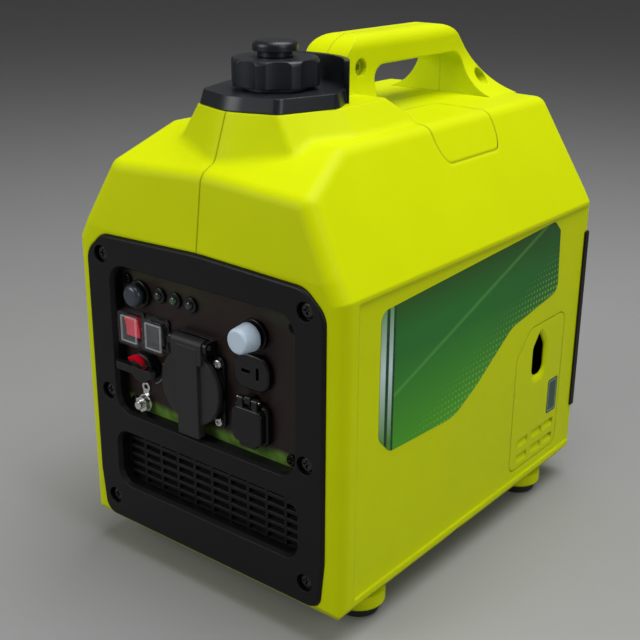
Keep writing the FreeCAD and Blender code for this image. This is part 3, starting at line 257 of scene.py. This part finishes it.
# %% Mould grain
def make_grain():
    tree, inside, outside = new_group(
        "mould grain",
        [("Scale", "NodeSocketFloat", 1500.0), ("Cloud scale", "NodeSocketFloat", 14.0)],
        [("Height", "NodeSocketFloat"), ("Clouds", "NodeSocketFloat"), ("Scuffs", "NodeSocketFloat")])
    place = tree.nodes.new("ShaderNodeTexCoord")
    pebble = add(tree, "ShaderNodeTexVoronoi", feature="SMOOTH_F1", Smoothness=0.6)
    tree.links.new(place.outputs["Object"], pebble.inputs["Vector"])
    tree.links.new(inside.outputs["Scale"], pebble.inputs["Scale"])
    clouds = add(tree, "ShaderNodeTexNoise", Detail=4.0, Roughness=0.55)
    tree.links.new(place.outputs["Object"], clouds.inputs["Vector"])
    tree.links.new(inside.outputs["Cloud scale"], clouds.inputs["Scale"])
    stretch = add(tree, "ShaderNodeMapping", Rotation=(0.5, 0.9, 0.3), Scale=(35.0, 600.0, 600.0))
    tree.links.new(place.outputs["Object"], stretch.inputs["Vector"])
    lines = noise(tree, stretch.outputs["Vector"], 1.0, 2.0, 0.6)
    scuffs = math_node(tree, "MULTIPLY", spread(tree, lines, 0.66, 0.72),
                       spread(tree, clouds.outputs["Fac"], 0.5, 0.7))
    tree.links.new(pebble.outputs["Distance"], outside.inputs["Height"])
    tree.links.new(clouds.outputs["Fac"], outside.inputs["Clouds"])
    tree.links.new(scuffs, outside.inputs["Scuffs"])
    return tree


# %% [markdown]
# ### Settled dust
#
# Dust lies on what faces up.  The normal's upward part, broken up by noise, is a good enough mask.

# %% Dust
def make_dust():
    tree, inside, outside = new_group(
        "settled dust", [("Amount", "NodeSocketFloat", 0.3)], [("Dust", "NodeSocketFloat")])
    geometry = tree.nodes.new("ShaderNodeNewGeometry")
    upward = add(tree, "ShaderNodeSeparateXYZ")
    tree.links.new(geometry.outputs["Normal"], upward.inputs["Vector"])
    facing = spread(tree, upward.outputs["Z"], 0.35, 1.0)
    place = tree.nodes.new("ShaderNodeTexCoord")
    specks = spread(tree, noise(tree, place.outputs["Object"], 420.0, 5.0, 0.7), 0.45, 0.75)
    drift = spread(tree, noise(tree, place.outputs["Object"], 22.0, 3.0), 0.35, 0.7)
    dust = math_node(tree, "MULTIPLY", math_node(tree, "MULTIPLY", specks, drift), facing)
    dust = math_node(tree, "MULTIPLY", dust, inside.outputs["Amount"], clamp=True)
    tree.links.new(dust, outside.inputs["Dust"])
    return tree


soft_edges = make_soft_edges()
mould_grain = make_grain()
settled_dust = make_dust()
print("shared effects:", [g.name for g in (soft_edges, mould_grain, settled_dust)])

# %% [markdown]
# ## One recipe for moulded plastic and painted parts
#
# With the effects at hand, a plastic is a short list of numbers: its colour, the colour of its worn
# edges, its gloss, and how strong its grain is.  A colour that varies is handed in as a socket made
# by a function, so that the printed panel and the label can use the same recipe.

# %% The recipe
def place_group(tree, group, **values):
    node = tree.nodes.new("ShaderNodeGroup")
    node.node_tree = group
    for key, value in values.items():
        node.inputs[key.replace("_", " ").capitalize()].default_value = value
    return node


dust_colour = (0.45, 0.42, 0.36)
grain_depth = 0.3 * mm


def moulded(name, colour, worn, roughness, grain=0.06, grain_scale=1500.0, edge=0.0006, wear=0.5,
            dust=0.25, drift=0.12, metallic=0.0, coat=0.0, specular=0.5, pattern=None):
    """A Principled material with soft edges, grain, drift and dust."""
    material = bpy.data.materials.new(name)
    material.use_nodes = True
    tree = material.node_tree
    shader = tree.nodes["Principled BSDF"]
    edges = place_group(tree, soft_edges, radius=edge)
    skin = place_group(tree, mould_grain, scale=grain_scale)
    film = place_group(tree, settled_dust, amount=dust)

    if pattern:
        ground = pattern(tree, colour)
    else:
        darker = tuple(channel * (1 - drift) for channel in colour)
        ground = mix_colours(tree, spread(tree, skin.outputs["Clouds"], 0.3, 0.7), darker, colour)
    rubbed = mix_colours(tree, math_node(tree, "MULTIPLY", edges.outputs["Wear"], wear), ground, worn)
    dusty = mix_colours(tree, film.outputs["Dust"], rubbed, dust_colour)
    tree.links.new(dusty, shader.inputs["Base Color"])

    gloss = spread(tree, skin.outputs["Clouds"], 0.3, 0.7, roughness * 0.88, roughness * 1.12)
    gloss = math_node(tree, "ADD", gloss, math_node(tree, "MULTIPLY", skin.outputs["Scuffs"], 0.12))
    gloss = math_node(tree, "ADD", gloss, math_node(tree, "MULTIPLY", film.outputs["Dust"], 0.4), clamp=True)
    tree.links.new(gloss, shader.inputs["Roughness"])

    bump = add(tree, "ShaderNodeBump", Strength=grain, Distance=grain_depth)
    tree.links.new(skin.outputs["Height"], bump.inputs["Height"])
    tree.links.new(edges.outputs["Normal"], bump.inputs["Normal"])
    tree.links.new(bump.outputs["Normal"], shader.inputs["Normal"])
    shader.inputs["Metallic"].default_value = metallic
    shader.inputs["Coat Weight"].default_value = coat
    shader.inputs["Specular IOR Level"].default_value = specular
    return material


def dress(material, *names):
    """Give the carried-over parts their finish; their meshes stay as they are."""
    for name in names:
        for slot in nodes[name].material_slots:
            slot.material = material
    print(f"{material.name}: {', '.join(names)}")


# %% [markdown]
# ## The lime housing
#
# Both half shells, the service covers and the plug cover are moulded from one batch of lime ABS,
# with a satin gloss.  The colour is very saturated: its blue channel is nothing at all, so even a
# weak reflection of white light would wash it out, and its specular level is nearly off.

# %% Lime plastic
lime = moulded("lime plastic", (0.60, 0.69, 0.0), (0.76, 0.84, 0.02), 0.46, grain=0.05, grain_scale=1300.0,
               edge=0.0022, wear=0.25, dust=0.0, drift=0.05, specular=0.08)
dress(lime, "right_housing", "left_housing", "right_service_cover", "left_service_cover", "spark_plug_cover")

# %% [markdown]
# ## Dark plastics
#
# The trim and cap are a blue-black charcoal with a satin gloss.  The bezel and grille are a neutral
# black with a coarser grain, and the small controls are a glossier black.

# %% Charcoal and blacks
charcoal = moulded("charcoal plastic", (0.0075, 0.0098, 0.0140), (0.045, 0.055, 0.070), 0.34, grain=0.08,
                   edge=0.0010, wear=0.6, dust=0.02, specular=0.42)
dress(charcoal, "tank_trim", "fuel_cap", "cap_vent_knob")

bezel_black = moulded("bezel plastic", (0.0050, 0.0050, 0.0058), (0.025, 0.025, 0.027), 0.42, grain=0.14,
                      grain_scale=1100.0, edge=0.0010, wear=0.6, dust=0.01, specular=0.20)
dress(bezel_black, "front_bezel", "front_grille")
rear_black = moulded("rear cover plastic", (0.008, 0.0074, 0.007), (0.03, 0.028, 0.026), 0.5, grain=0.16,
                     grain_scale=1000.0, edge=0.0008, wear=0.6, dust=0.02, specular=0.18)
dress(rear_black, "rear_cover")
control_black = moulded("control plastic", (0.0062, 0.0062, 0.0070), (0.05, 0.05, 0.052), 0.28, grain=0.04,
                        edge=0.0006, wear=0.6, dust=0.02, specular=0.3)
dress(control_black, "dc_breaker_button", "lamp_sleeves", "switch_frames", "eco_rocker", "mode_knob",
      "socket_body", "dc_outlet", "usb_outlet", "usb_cover", "recoil_grip", "breaker_bodies")
socket_grey = moulded("socket plastic", (0.019, 0.019, 0.0195), (0.07, 0.07, 0.07), 0.50, grain=0.12,
                      grain_scale=1600.0, edge=0.0008, wear=0.6, dust=0.03, specular=0.3)
dress(socket_grey, "socket_lid", "socket_insert")
slate = moulded("slate button", (0.030, 0.042, 0.055), (0.12, 0.15, 0.18), 0.26, grain=0.02, edge=0.0006,
                dust=0.02)
dress(slate, "ac_breaker_button")
inner_plastic = moulded("inner plastic", (0.022, 0.022, 0.022), (0.07, 0.07, 0.07), 0.55, grain=0.12)
dress(inner_plastic, "ignition_coil_and_boot", "oil_filler_cap", "cooling_fan", "fan_shroud",
      "recoil_housing", "recoil_pulley", "recoil_grip_cup", "fuel_tank", "air_filter_box")

# %% [markdown]
# ## The printed control panel
#
# The panel is a thin sheet printed in a brown black that turns olive at the top, with a mottled
# green band along its foot and a thin dial line round the knob.  All of it follows from Object
# coordinates, which on this part are simply metres from the middle of the generator.

# %% Panel print
def axes_of(tree):
    place = tree.nodes.new("ShaderNodeTexCoord")
    split = tree.nodes.new("ShaderNodeSeparateXYZ")
    tree.links.new(place.outputs["Object"], split.inputs["Vector"])
    return place.outputs["Object"], split.outputs["X"], split.outputs["Y"], split.outputs["Z"]


def between(tree, value, low, high, blur=0.0002):
    """1 where value lies between low and high, with a soft edge."""
    above = spread(tree, value, low - blur, low + blur)
    below = spread(tree, value, high + blur, high - blur)
    return math_node(tree, "MULTIPLY", above, below)


def centre_of(name):
    low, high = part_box(name)
    return (low + high) / 2


knob_axis = centre_of("mode_knob")
panel_low, panel_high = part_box("control_panel")
band_foot, band_top, band_wave = 4.0 * mm, 17.0 * mm, 6.0 * mm
dial_inner, dial_outer = 13.2 * mm, 13.8 * mm
dial_from, dial_to = -1.2, 0.3


def panel_print(tree, colour):
    spot, x, y, z = axes_of(tree)
    height = spread(tree, z, panel_low.z, panel_high.z)
    cloud = spread(tree, noise(tree, spot, 34.0, 3.0, 0.5), 0.3, 0.7)
    olive = math_node(tree, "MULTIPLY", spread(tree, height, 0.78, 1.0), cloud)
    ground = mix_colours(tree, olive, colour, (0.040, 0.048, 0.012))
    mottle = spread(tree, noise(tree, spot, 90.0, 3.0, 0.5), 0.3, 0.65, 0.25, 1.0)
    wave = math_node(tree, "MULTIPLY", noise(tree, spot, 30.0, 2.0, 0.5), band_wave)
    wavy = math_node(tree, "ADD", z, wave)
    band = between(tree, wavy, panel_low.z + band_foot, panel_low.z + band_top, 2.2 * mm)
    ground = mix_colours(tree, math_node(tree, "MULTIPLY", band, mottle), ground, (0.115, 0.240, 0.028))
    across = math_node(tree, "SUBTRACT", x, knob_axis.x)
    above = math_node(tree, "SUBTRACT", z, knob_axis.z)
    radius = math_node(tree, "SQRT", math_node(tree, "ADD", math_node(tree, "MULTIPLY", across, across),
                                               math_node(tree, "MULTIPLY", above, above)))
    angle = math_node(tree, "ARCTAN2", above, across)
    ring = between(tree, radius, dial_inner, dial_outer)
    arc = math_node(tree, "MULTIPLY", ring, between(tree, angle, dial_from, dial_to, 0.02))
    return mix_colours(tree, arc, ground, (0.45, 0.45, 0.43))


panel_sheet = moulded("printed panel", (0.0195, 0.0120, 0.0098), (0.05, 0.04, 0.035), 0.36, grain=0.03,
                      edge=0.0003, dust=0.01, specular=0.2, pattern=panel_print)
dress(panel_sheet, "control_panel")

# %% [markdown]
# ## The side label
#
# The label is film printed with a green that brightens downwards.  Its shape is already cut; here it
# gets two printed bars near the front, whose silvery middle is a painted sheen, a thin streak of light,
# and a field of dots that shrink away from the lower edge, as halftone dots do.

# %% Label print
label_low, label_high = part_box("side_label")
dot_pitch, largest_dot = 4.2 * mm, 2.0 * mm
bar_painted_sheen, bar_green = (0.55, 0.68, 0.68), (0.085, 0.26, 0.030)


def label_print(tree, colour):
    spot, x, y, z = axes_of(tree)
    height = spread(tree, z, label_low.z, label_high.z)
    along = spread(tree, y, label_low.y, label_high.y)
    ground = mix_colours(tree, spread(tree, height, 0.0, 0.60), (0.070, 0.340, 0.018), colour)
    ground = mix_colours(tree, spread(tree, height, 0.72, 1.0), ground, (0.030, 0.080, 0.014))
    ground = mix_colours(tree, math_node(tree, "MULTIPLY", spread(tree, along, 0.5, 1.0), 0.5), ground,
                         (0.020, 0.095, 0.024))
    slope = math_node(tree, "SUBTRACT", height, math_node(tree, "MULTIPLY", along, 0.75))
    streak = math_node(tree, "MULTIPLY", between(tree, slope, 0.315, 0.335, 0.012), 0.35)
    ground = mix_colours(tree, streak, ground, (0.20, 0.50, 0.12))

    across = math_node(tree, "PINGPONG", y, dot_pitch / 2)
    above = math_node(tree, "PINGPONG", z, dot_pitch / 2)
    dot = math_node(tree, "SQRT", math_node(tree, "ADD", math_node(tree, "MULTIPLY", across, across),
                                            math_node(tree, "MULTIPLY", above, above)))
    rise = math_node(tree, "SUBTRACT", z, math_node(tree, "MULTIPLY", y, 0.42))
    size = spread(tree, rise, 0.168, 0.108, 0.0, largest_dot)
    dots = spread(tree, math_node(tree, "SUBTRACT", size, dot), 0.0, 0.0002)
    ground = mix_colours(tree, math_node(tree, "MULTIPLY", dots, 0.65), ground, (0.26, 0.56, 0.06))

    # Painted sheen: each printed bar is silver around mid-height and green towards its ends.
    painted_sheen_band = between(tree, height, 0.32, 0.78, 0.22)
    bar = mix_colours(tree, painted_sheen_band, bar_green, bar_painted_sheen)
    weave = spread(tree, noise(tree, spot, 900.0, 2.0), 0.4, 0.6)
    gap = mix_colours(tree, weave, (0.006, 0.030, 0.012), (0.020, 0.090, 0.030))
    for start, end, tint in ((0.0, 5.5, bar), (5.5, 8.5, gap), (8.5, 12.5, bar), (12.5, 14.7, gap)):
        stripe = between(tree, y, label_low.y + start * mm, label_low.y + end * mm)
        ground = mix_colours(tree, stripe, ground, tint)
    return ground


label_film = moulded("label film", (0.026, 0.175, 0.028), (0.12, 0.25, 0.10), 0.40, grain=0.0, edge=0.0002,
                     dust=0.0, specular=0.12, pattern=label_print)
dress(label_film, "side_label")

# %% [markdown]
# ## Small bright things
#
# The engine switch is glossy red.  Both switches sit under clear covers, and the breaker at the top
# right has a boot of frosted silicone.  Real glass would hide what is inside from the lamps, so the
# covers are a thin skin instead: nearly open on their faces, with a light grey painted reflection along
# their edges and over their front panes.

# %% Red rocker, clear covers and silicone
rocker_red = moulded("red rocker plastic", (0.92, 0.012, 0.055), (0.9, 0.15, 0.2), 0.26, grain=0.02,
                     edge=0.0004, wear=0.3, dust=0.0, drift=0.0)
dress(rocker_red, "engine_rocker")


def see_through(name, tint, roughness, face_cover, edge_cover, edge=0.0007):
    """A thin skin: little of it shows on the faces, more along the edges; on the clear covers it is a painted
    reflection, on the silicone its frosting.
    """
    material = moulded(name, tint, tint, roughness, grain=0.0, edge=edge, wear=0.0, dust=0.0, drift=0.0)
    tree = material.node_tree
    groups = [node for node in tree.nodes if node.type == "GROUP" and node.node_tree == soft_edges]
    cover = spread(tree, groups[0].outputs["Wear"], 0.0, 0.6, face_cover, edge_cover)
    tree.links.new(cover, tree.nodes["Principled BSDF"].inputs["Alpha"])
    return material


pane_half_width, pane_half_height, pane_rim = 7.2 * mm, 9.0 * mm, 0.8 * mm
pane_right, pane_up = 1.4 * mm, 0.6 * mm
pane_painted_reflection, rim_painted_highlight = 0.05, 0.38
pane_skin = 1.0 * mm


def pane_mask(tree):
    """The flat pane on the front of each switch cover: a faint painted reflection, with a brighter painted
    highlight on its rim.
    """
    spot, x, y, z = axes_of(tree)
    left, right = centre_of("engine_rocker"), centre_of("eco_rocker")
    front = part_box("switch_splash_covers")[0].y
    from_middle = math_node(tree, "SUBTRACT", x, (left.x + right.x) / 2)
    second = math_node(tree, "GREATER_THAN", from_middle, 0.0)
    centre_x = spread(tree, second, 0.0, 1.0, left.x + pane_right, right.x + pane_right)
    across = math_node(tree, "ABSOLUTE", math_node(tree, "SUBTRACT", x, centre_x))
    above = math_node(tree, "ABSOLUTE", math_node(tree, "SUBTRACT", z, left.z + pane_up))
    outside = math_node(tree, "MAXIMUM", math_node(tree, "SUBTRACT", across, pane_half_width),
                        math_node(tree, "SUBTRACT", above, pane_half_height))
    pane = spread(tree, outside, 0.0001, -0.0001, 0.0, pane_painted_reflection)
    rim = math_node(tree, "MULTIPLY", between(tree, outside, -pane_rim, 0.0), rim_painted_highlight)
    on_front = spread(tree, y, front + pane_skin + 0.1 * mm, front + pane_skin)
    return math_node(tree, "MULTIPLY", math_node(tree, "ADD", pane, rim), on_front)


# The clear covers' light grey skin, denser on edges and pane rims, is a painted reflection.
clear_cover = see_through("clear cover", (0.62, 0.66, 0.68), 0.10, 0.02, 0.16)
tree = clear_cover.node_tree
alpha = tree.nodes["Principled BSDF"].inputs["Alpha"]
tree.links.new(math_node(tree, "ADD", alpha.links[0].from_socket, pane_mask(tree), clamp=True), alpha)
dress(clear_cover, "switch_splash_covers")
silicone = see_through("frosted silicone", (0.66, 0.80, 0.93), 0.30, 0.78, 0.95, edge=0.0015)
dress(silicone, "dc_breaker_boot")


def lens_colours(tree, colour):
    spot, x, y, z = axes_of(tree)
    lens_low, lens_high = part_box("lamp_lenses")
    middle_x = (lens_low.x + lens_high.x) / 2
    middle_lens = between(tree, x, middle_x - 4.0 * mm, middle_x + 4.0 * mm)
    return mix_colours(tree, middle_lens, colour, (0.030, 0.080, 0.034))


lens = moulded("lamp lens", (0.020, 0.024, 0.022), (0.2, 0.22, 0.2), 0.10, grain=0.0, edge=0.0003, dust=0.0,
               coat=0.4, pattern=lens_colours)
dress(lens, "lamp_lenses")

# %% [markdown]
# ## Metal and rubber
#
# The ground terminal and the socket's screws on the right are zinc-plated.  The four at the panel's
# corners and the bezel's are blackened.  The two that hide behind the socket's lid get the same black as
# painted shade behind the lid, and the two deep in the handle get a darker lime, the painted shade of the
# handle's recess.  One material serves each group, and its colour follows from where the screw sits.
# Rubber is nearly matt.

# %% Metal and rubber
right_corner_x, behind_lid_x, handle_z = 60.0 * mm, -20.0 * mm, 300.0 * mm


def blacken_corners_paint_shade_behind_lid(tree, colour):
    spot, x, y, z = axes_of(tree)
    # Screws past right_corner_x are blackened steel; those past behind_lid_x take the same black as painted
    # shade behind the socket's lid.
    outer = math_node(tree, "MAXIMUM", spread(tree, x, right_corner_x - mm, right_corner_x + mm),
                      spread(tree, x, behind_lid_x + mm, behind_lid_x - mm))
    return mix_colours(tree, outer, colour, (0.012, 0.012, 0.012))


def painted_shade_lime_in_handle(tree, colour):
    spot, x, y, z = axes_of(tree)
    # Painted shade: the screws deep in the handle take the housing's lime, darkened as the shade of their
    # recess.
    return mix_colours(tree, spread(tree, z, handle_z - mm, handle_z + mm), colour, (0.30, 0.36, 0.0))


zinc = moulded("zinc plate", (0.72, 0.72, 0.70), (0.85, 0.85, 0.83), 0.24, grain=0.10, grain_scale=2500.0,
               edge=0.0003, dust=0.0, metallic=1.0)
dress(zinc, "ground_terminal", "hinge_pins")
screw_zinc = moulded("zinc, black and shade-painted screws", (0.72, 0.72, 0.70), (0.5, 0.5, 0.5), 0.26, grain=0.10,
                     grain_scale=2500.0, edge=0.0003, wear=0.2, dust=0.0, metallic=1.0, pattern=blacken_corners_paint_shade_behind_lid)
dress(screw_zinc, "panel_screws")
black_screw = moulded("blackened steel, lime painted shade in handle", (0.004, 0.004, 0.0045), (0.04, 0.04, 0.04), 0.30, grain=0.08,
                      edge=0.0004, wear=0.3, dust=0.0, pattern=painted_shade_lime_in_handle)
dress(black_screw, "case_screws")
# Painted shade: the engine's castings and steel inside the case are coloured far darker than bare metal, as
# the shade inside the case; the muffler's mottling is heat stain.
shaded_casting = moulded("cast aluminium", (0.045, 0.045, 0.048), (0.10, 0.10, 0.10), 0.55, grain=0.5,
                  grain_scale=900.0, metallic=1.0)
dress(shaded_casting, "crankcase", "cylinder", "cylinder_head", "piston", "carburettor", "inverter_module")
shaded_machined = moulded("machined steel", (0.10, 0.10, 0.105), (0.2, 0.2, 0.2), 0.3, grain=0.1, metallic=1.0)
dress(shaded_machined, "crankshaft", "flywheel_rotor", "spark_plug")
copper = moulded("enamelled copper", (0.45, 0.17, 0.06), (0.7, 0.4, 0.2), 0.35, grain=0.6, grain_scale=900.0,
                 metallic=0.8)
dress(copper, "stator")
heat_stain_and_shade_grey = moulded("heat-stained steel, painted shade", (0.13, 0.11, 0.09), (0.3, 0.25, 0.2), 0.55, grain=0.3, metallic=0.7,
                    drift=0.4)
dress(heat_stain_and_shade_grey, "muffler", "exhaust_pipes")
rubber = moulded("black rubber", (0.009, 0.009, 0.009), (0.04, 0.04, 0.04), 0.72, grain=0.3,
                 grain_scale=800.0, edge=0.0008, dust=0.05)
dress(rubber, "rubber_feet", "engine_mounts", "fuel_hose")
braid = moulded("braided rope", (0.62, 0.62, 0.58), (0.7, 0.7, 0.66), 0.8, grain=1.0, grain_scale=700.0)
dress(braid, "starter_rope")
paper = moulded("studio paper", (0.30, 0.30, 0.30), (0.30, 0.30, 0.30), 0.9, grain=0.02, dust=0.0, drift=0.01)
floor.data.materials.append(paper)

# %% [markdown]
# ## The knob's red pointer
#
# A red arc on the knob's hub shows which way it is set.  It is a strip of a lathe ring, so a small
# square profile is spun through a little over a right angle, capped and bevelled.  Curves with a
# bevel would do as well, but a spin keeps flat faces and crisp ends.

# %% Red pointer
def ring_strip(name, centre, inner, outer, back, front, first, last, edge):
    """A stretch of a flat ring round an axis along Y, between two angles in degrees."""
    bm = bmesh.new()
    start = Matrix.Rotation(-math.radians(first), 3, "Y")
    corners = ((inner, back), (outer, back), (outer, front), (inner, front))
    profile = bm.faces.new([bm.verts.new(start @ Vector((r, y, 0))) for r, y in corners])
    bmesh.ops.spin(bm, geom=[profile, *profile.edges, *profile.verts], cent=(0, 0, 0), axis=(0, -1, 0),
                   angle=math.radians(last - first), steps=18, use_merge=False, use_duplicate=True)
    bmesh.ops.remove_doubles(bm, verts=bm.verts, dist=1e-6)
    bmesh.ops.translate(bm, verts=bm.verts, vec=(centre.x, 0, centre.z))
    bmesh.ops.recalc_face_normals(bm, faces=bm.faces)
    sharp = [e for e in bm.edges if len(e.link_faces) == 2 and e.calc_face_angle() > 0.6]
    bmesh.ops.bevel(bm, geom=sharp, offset=edge, affect="EDGES", segments=2, profile=0.5, material=-1,
                    clamp_overlap=True)
    return finish_mesh(bm, name)


blade_rise = 5.0 * mm            # how far the knob's blade stands proud of its hub
pointer_inner, pointer_outer = 6.6 * mm, 9.6 * mm
pointer_gap, pointer_height = 0.1 * mm, 4.4 * mm
hub_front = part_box("mode_knob")[0].y + blade_rise
pointer = ring_strip("knob_pointer", knob_axis, pointer_inner, pointer_outer, hub_front - pointer_gap,
                     hub_front - pointer_height, 20.0, 128.0, 0.5 * mm)
pointer.data.materials.append(rocker_red)
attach(pointer, "mode_knob")
print("pointer faces:", len(pointer.data.polygons))

# %% [markdown]
# ## The little sticker on the service cover
#
# A small dark sticker marks how the cover opens.  It keeps only a plain rounded frame.  A plane with
# rounded corners is enough, given a thickness, and the frame is a second colour that follows the
# distance from the sticker's edge.

# %% Cover sticker
sticker_middle = Vector((0.0, 117.5 * mm, 82.0 * mm))
sticker_size = (15.0 * mm, 28.0 * mm)
sticker_corner, sticker_thick = 2.2 * mm, 0.15 * mm


def sticker_print(tree, colour):
    spot, x, y, z = axes_of(tree)
    across = math_node(tree, "ABSOLUTE", math_node(tree, "SUBTRACT", y, sticker_middle.y))
    above = math_node(tree, "ABSOLUTE", math_node(tree, "SUBTRACT", z, sticker_middle.z))
    side = math_node(tree, "SUBTRACT", across, sticker_size[0] / 2)
    end = math_node(tree, "SUBTRACT", above, sticker_size[1] / 2)
    inset = math_node(tree, "SMOOTH_MAX", side, end)
    tree.nodes[-1].inputs[2].default_value = 0.002
    line = between(tree, inset, -0.0021, -0.0015)
    return mix_colours(tree, line, colour, (0.28, 0.42, 0.24))


sticker_film = moulded("sticker film", (0.008, 0.055, 0.030), (0.1, 0.2, 0.1), 0.3, grain=0.0,
                       edge=0.0002, dust=0.0, pattern=sticker_print)


def rounded_sheet(name, middle, width, height, radius, thick):
    """A thin sheet standing across X, with round corners."""
    bm = bmesh.new()
    bmesh.ops.create_grid(bm, x_segments=1, y_segments=1, size=0.5)
    bmesh.ops.scale(bm, verts=bm.verts, vec=(height, width, 1))
    bmesh.ops.bevel(bm, geom=bm.verts[:], offset=radius, affect="VERTICES", segments=8, profile=0.5,
                    material=-1)
    bmesh.ops.rotate(bm, verts=bm.verts, cent=(0, 0, 0), matrix=Matrix.Rotation(math.radians(90), 3, "Y"))
    out = bmesh.ops.extrude_face_region(bm, geom=bm.faces[:])
    moved = [item for item in out["geom"] if isinstance(item, bmesh.types.BMVert)]
    bmesh.ops.translate(bm, verts=moved, vec=(thick, 0, 0))
    bmesh.ops.translate(bm, verts=bm.verts, vec=middle)
    return finish_mesh(bm, name, smooth=False)


sticker_middle.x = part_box("right_service_cover")[1].x + 0.02 * mm
sticker = rounded_sheet("cover_sticker", sticker_middle, *sticker_size, sticker_corner, sticker_thick)
sticker.data.materials.append(sticker_film)
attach(sticker, "right_cover")

# %% [markdown]
# ## A painted shade sheet behind the finger hole
#
# From the front one could look in at the finger hole and out through the slots at the back.  A thin
# black sheet standing inside the case closes that view; it is painted shade for the dark inside of the case.

# %% Painted shade sheet
# Painted shade: a black sheet inside the case, where the finger hole shows only shade.
shade_sheet_middle = Vector((97.0 * mm, 101.0 * mm, 118.0 * mm))
shade_sheet_size = (52.0 * mm, 62.0 * mm)
shade_sheet_corner, shade_sheet_thick = 6.0 * mm, 1.0 * mm
shade_sheet = rounded_sheet("painted_shade_sheet", shade_sheet_middle, *shade_sheet_size, shade_sheet_corner, shade_sheet_thick)
shade_sheet_black = moulded("painted shade black", (0.004, 0.004, 0.004), (0.01, 0.01, 0.01), 0.95, grain=0.4,
               grain_scale=700.0, dust=0.0, specular=0.05)
shade_sheet.data.materials.append(shade_sheet_black)
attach(shade_sheet, "root")
